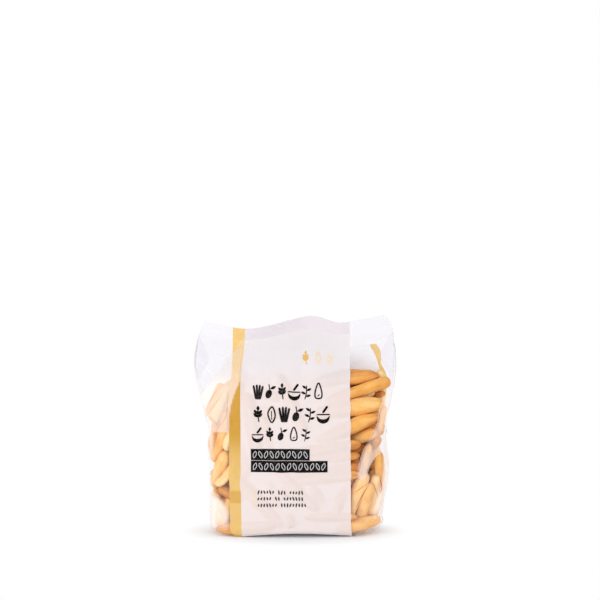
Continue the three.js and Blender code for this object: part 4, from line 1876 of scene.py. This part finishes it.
def paper_sweep():
    """White studio paper, matt and very faintly cool, with a painted glow that it gives off itself
    away from the bag.
    """
    material, tree = new_material("white_paper_sweep")
    paper = add_node(tree, "ShaderNodeBsdfDiffuse", {"Color": linear("#F6F8FA")})
    painted_glow = add_node(tree, "ShaderNodeEmission", {"Color": linear("#FFFFFF"), "Strength": 1.0})
    place = add_node(tree, "ShaderNodeTexCoord")
    oval = add_node(
        tree, "ShaderNodeMapping", {"Vector": place.outputs["Object"], "Scale": SWEEP_OVAL}
    )
    distance = add_node(tree, "ShaderNodeVectorMath", {0: oval}, operation="LENGTH")
    near, far = SWEEP_FADE_MM
    fade = add_node(
        tree,
        "ShaderNodeMapRange",
        {"Value": distance.outputs["Value"], "From Min": near * MM, "From Max": far * MM},
        interpolation_type="SMOOTHSTEP",
    )
    sweep = add_node(tree, "ShaderNodeMixShader", {0: fade, 1: paper, 2: painted_glow})
    add_node(tree, "ShaderNodeOutputMaterial", {"Surface": sweep})
    return material


def build_world(dome):
    """A white studio: bright behind the bag, dimmer in front of it and overhead.

    The camera sees plain white, so the picture's background is even.
    """
    world = bpy.data.worlds.new("studio")
    bpy.context.scene.world = world
    world.use_nodes = True
    tree = world.node_tree
    tree.nodes.clear()
    direction = add_node(tree, "ShaderNodeTexCoord")
    parts = add_node(tree, "ShaderNodeSeparateXYZ", {0: direction.outputs["Generated"]})
    front, back = FRONT_DEPTHS
    depth = add_node(
        tree,
        "ShaderNodeMapRange",
        {
            "Value": parts.outputs["Y"],
            "From Min": front,
            "From Max": back,
            "To Min": dome * FRONT_SHARE,
            "To Max": dome,
        },
        interpolation_type="SMOOTHSTEP",
    )
    low, high = OVERHEAD_HEIGHTS
    overhead = add_node(
        tree,
        "ShaderNodeMapRange",
        {
            "Value": parts.outputs["Z"],
            "From Min": low,
            "From Max": high,
            "To Min": 1.0,
            "To Max": OVERHEAD_SHARE,
        },
    )
    brightness = add_node(tree, "ShaderNodeMath", {0: depth, 1: overhead}, operation="MULTIPLY")
    white = linear("#FFFFFF")
    studio = add_node(tree, "ShaderNodeBackground", {"Color": white, "Strength": brightness})
    backdrop = add_node(tree, "ShaderNodeBackground", {"Color": white, "Strength": 1.0})
    seen = add_node(tree, "ShaderNodeLightPath")
    mixed = add_node(
        tree, "ShaderNodeMixShader", {0: seen.outputs["Is Camera Ray"], 1: studio, 2: backdrop}
    )
    add_node(tree, "ShaderNodeOutputWorld", {"Surface": mixed})


# ---- Settings, operators and panel ----


def colour_property(name, description, default):
    """A colour that the user can pick, with an sRGB hex value as its default."""
    return bpy.props.FloatVectorProperty(
        name=name,
        description=description,
        subtype="COLOR",
        size=4,
        min=0,
        max=1,
        default=linear(default),
    )


class BagSettings(bpy.types.PropertyGroup):
    """Sizes and colours of the bag that a user would change."""

    stick_count: bpy.props.IntProperty(
        name="Breadsticks",
        description="How many breadsticks are put into the bag, the hand-placed ones included",
        default=STICK_COUNT,
        min=len(SHOWN_STICKS),
    )
    seed: bpy.props.IntProperty(
        name="Seed",
        description="Start of the random draws that place and shape the breadsticks",
        default=STICK_SEED,
        min=0,
    )
    film_sink: bpy.props.FloatProperty(
        name="Film sink",
        description="How far the film sinks at most between the breadsticks",
        default=DEEPEST_SINK * MM,
        min=0,
        unit="LENGTH",
    )
    seam_width: bpy.props.FloatProperty(
        name="Seam width",
        description="Width of the sealed strip down the back",
        default=SEAM_WIDTH * MM,
        min=MM,
        unit="LENGTH",
    )
    film_haze: bpy.props.FloatProperty(
        name="Film haze",
        description="Share of light that one layer of clear film scatters",
        default=0.002,
        min=0,
        max=1,
        subtype="FACTOR",
    )
    film_tint: colour_property("Film", "Tint of one layer of film", "#FCFBFD")
    white_ink: colour_property("White ink", "Colour of the panel on the front", "#E7E3E2")
    gold_ink: colour_property("Gold ink", "Colour of the stripes", "#F1D287")


class StageSettings(bpy.types.PropertyGroup):
    """Light round the bag and the camera's lens."""

    dome: bpy.props.FloatProperty(
        name="Surroundings", description="Brightness of the white surroundings", default=1.02, min=0
    )
    ceiling: bpy.props.FloatProperty(
        name="Ceiling", description="Strength of the light from above", default=0.15, min=0
    )
    key: bpy.props.FloatProperty(
        name="Key light",
        description="Power of the large light at the left",
        default=29.5,
        min=0,
        unit="POWER",
    )
    fill: bpy.props.FloatProperty(
        name="Fill light",
        description="Power of the large light at the right",
        default=7.0,
        min=0,
        unit="POWER",
    )
    lens: bpy.props.FloatProperty(
        name="Lens",
        description="Focal length of the camera",
        default=CAMERA_LENS,
        min=1,
        unit="CAMERA",
    )


class BREADBAG_OT_breadsticks(bpy.types.Operator):
    """Packs the breadsticks into the bag and makes them one piece"""

    bl_idname = "breadbag.breadsticks"
    bl_label = "Breadsticks"

    def execute(self, context):
        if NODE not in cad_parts:
            raise RuntimeError("The frame has no bag to dress")
        build_sticks(context.scene.breadbag)
        return {"FINISHED"}


class BREADBAG_OT_film(bpy.types.Operator):
    """Makes the sealed film that drapes over the breadsticks"""

    bl_idname = "breadbag.film"
    bl_label = "Film"

    def execute(self, context):
        build_film(context.scene.breadbag)
        return {"FINISHED"}


class BREADBAG_OT_seam(bpy.types.Operator):
    """Makes the crimped seam down the back"""

    bl_idname = "breadbag.seam"
    bl_label = "Back Seam"

    def execute(self, context):
        build_seam(context.scene.breadbag)
        return {"FINISHED"}


class BREADBAG_OT_fields(bpy.types.Operator):
    """Makes the white and gold fields of ink on the front, the back and the base"""

    bl_idname = "breadbag.fields"
    bl_label = "Fields of Ink"

    def execute(self, context):
        build_fields(context.scene.breadbag)
        return {"FINISHED"}


class BREADBAG_OT_marks(bpy.types.Operator):
    """Makes the pictures, strips and grains that are printed on the front"""

    bl_idname = "breadbag.marks"
    bl_label = "Marks"

    def execute(self, context):
        build_marks(context.scene.breadbag)
        return {"FINISHED"}


class BREADBAG_OT_creases(bpy.types.Operator):
    """Makes the sharp creases and folds of the film"""

    bl_idname = "breadbag.creases"
    bl_label = "Creases"

    def execute(self, context):
        build_creases(context.scene.breadbag)
        return {"FINISHED"}


class BREADBAG_OT_stage(bpy.types.Operator):
    """Makes the floor, the lights and the camera"""

    bl_idname = "breadbag.stage"
    bl_label = "Stage"

    def execute(self, context):
        settings = context.scene.breadbag_stage
        build_floor()
        build_world(settings.dome)
        ceiling_light(settings.ceiling)
        softbox("key_softbox", KEY_PLACE, settings.key)
        softbox("fill_softbox", FILL_PLACE, settings.fill)
        build_camera(settings.lens)
        context.scene.view_settings.view_transform = "Standard"
        context.scene.cycles.transparent_max_bounces = FILM_LAYERS
        return {"FINISHED"}


OPERATORS = (
    BREADBAG_OT_breadsticks,
    BREADBAG_OT_film,
    BREADBAG_OT_seam,
    BREADBAG_OT_fields,
    BREADBAG_OT_marks,
    BREADBAG_OT_creases,
    BREADBAG_OT_stage,
)


class BREADBAG_PT_panel(bpy.types.Panel):
    """Lists the settings and the steps in their order"""

    bl_label = "Breadstick Bag"
    bl_space_type = "VIEW_3D"
    bl_region_type = "UI"
    bl_category = "Breadstick Bag"

    def draw(self, context):
        for settings in (context.scene.breadbag, context.scene.breadbag_stage):
            for name in type(settings).__annotations__:
                self.layout.prop(settings, name)
        for operator in OPERATORS:
            self.layout.operator(operator.bl_idname)


CLASSES = (BagSettings, StageSettings, *OPERATORS, BREADBAG_PT_panel)


def register():
    """Registers the classes and hangs the settings on the scene."""
    for cls in CLASSES:
        bpy.utils.register_class(cls)
    bpy.types.Scene.breadbag = bpy.props.PointerProperty(type=BagSettings)
    bpy.types.Scene.breadbag_stage = bpy.props.PointerProperty(type=StageSettings)


def unregister():
    """Takes the settings and the classes away again."""
    del bpy.types.Scene.breadbag_stage
    del bpy.types.Scene.breadbag
    for cls in reversed(CLASSES):
        bpy.utils.unregister_class(cls)


def main():
    """Makes the bag and its stage."""
    register()
    bpy.ops.breadbag.breadsticks()
    bpy.ops.breadbag.film()
    bpy.ops.breadbag.seam()
    bpy.ops.breadbag.fields()
    bpy.ops.breadbag.marks()
    bpy.ops.breadbag.creases()
    bpy.ops.breadbag.stage()
    bpy.context.view_layer.update()


if __name__ == "__main__":
    main()
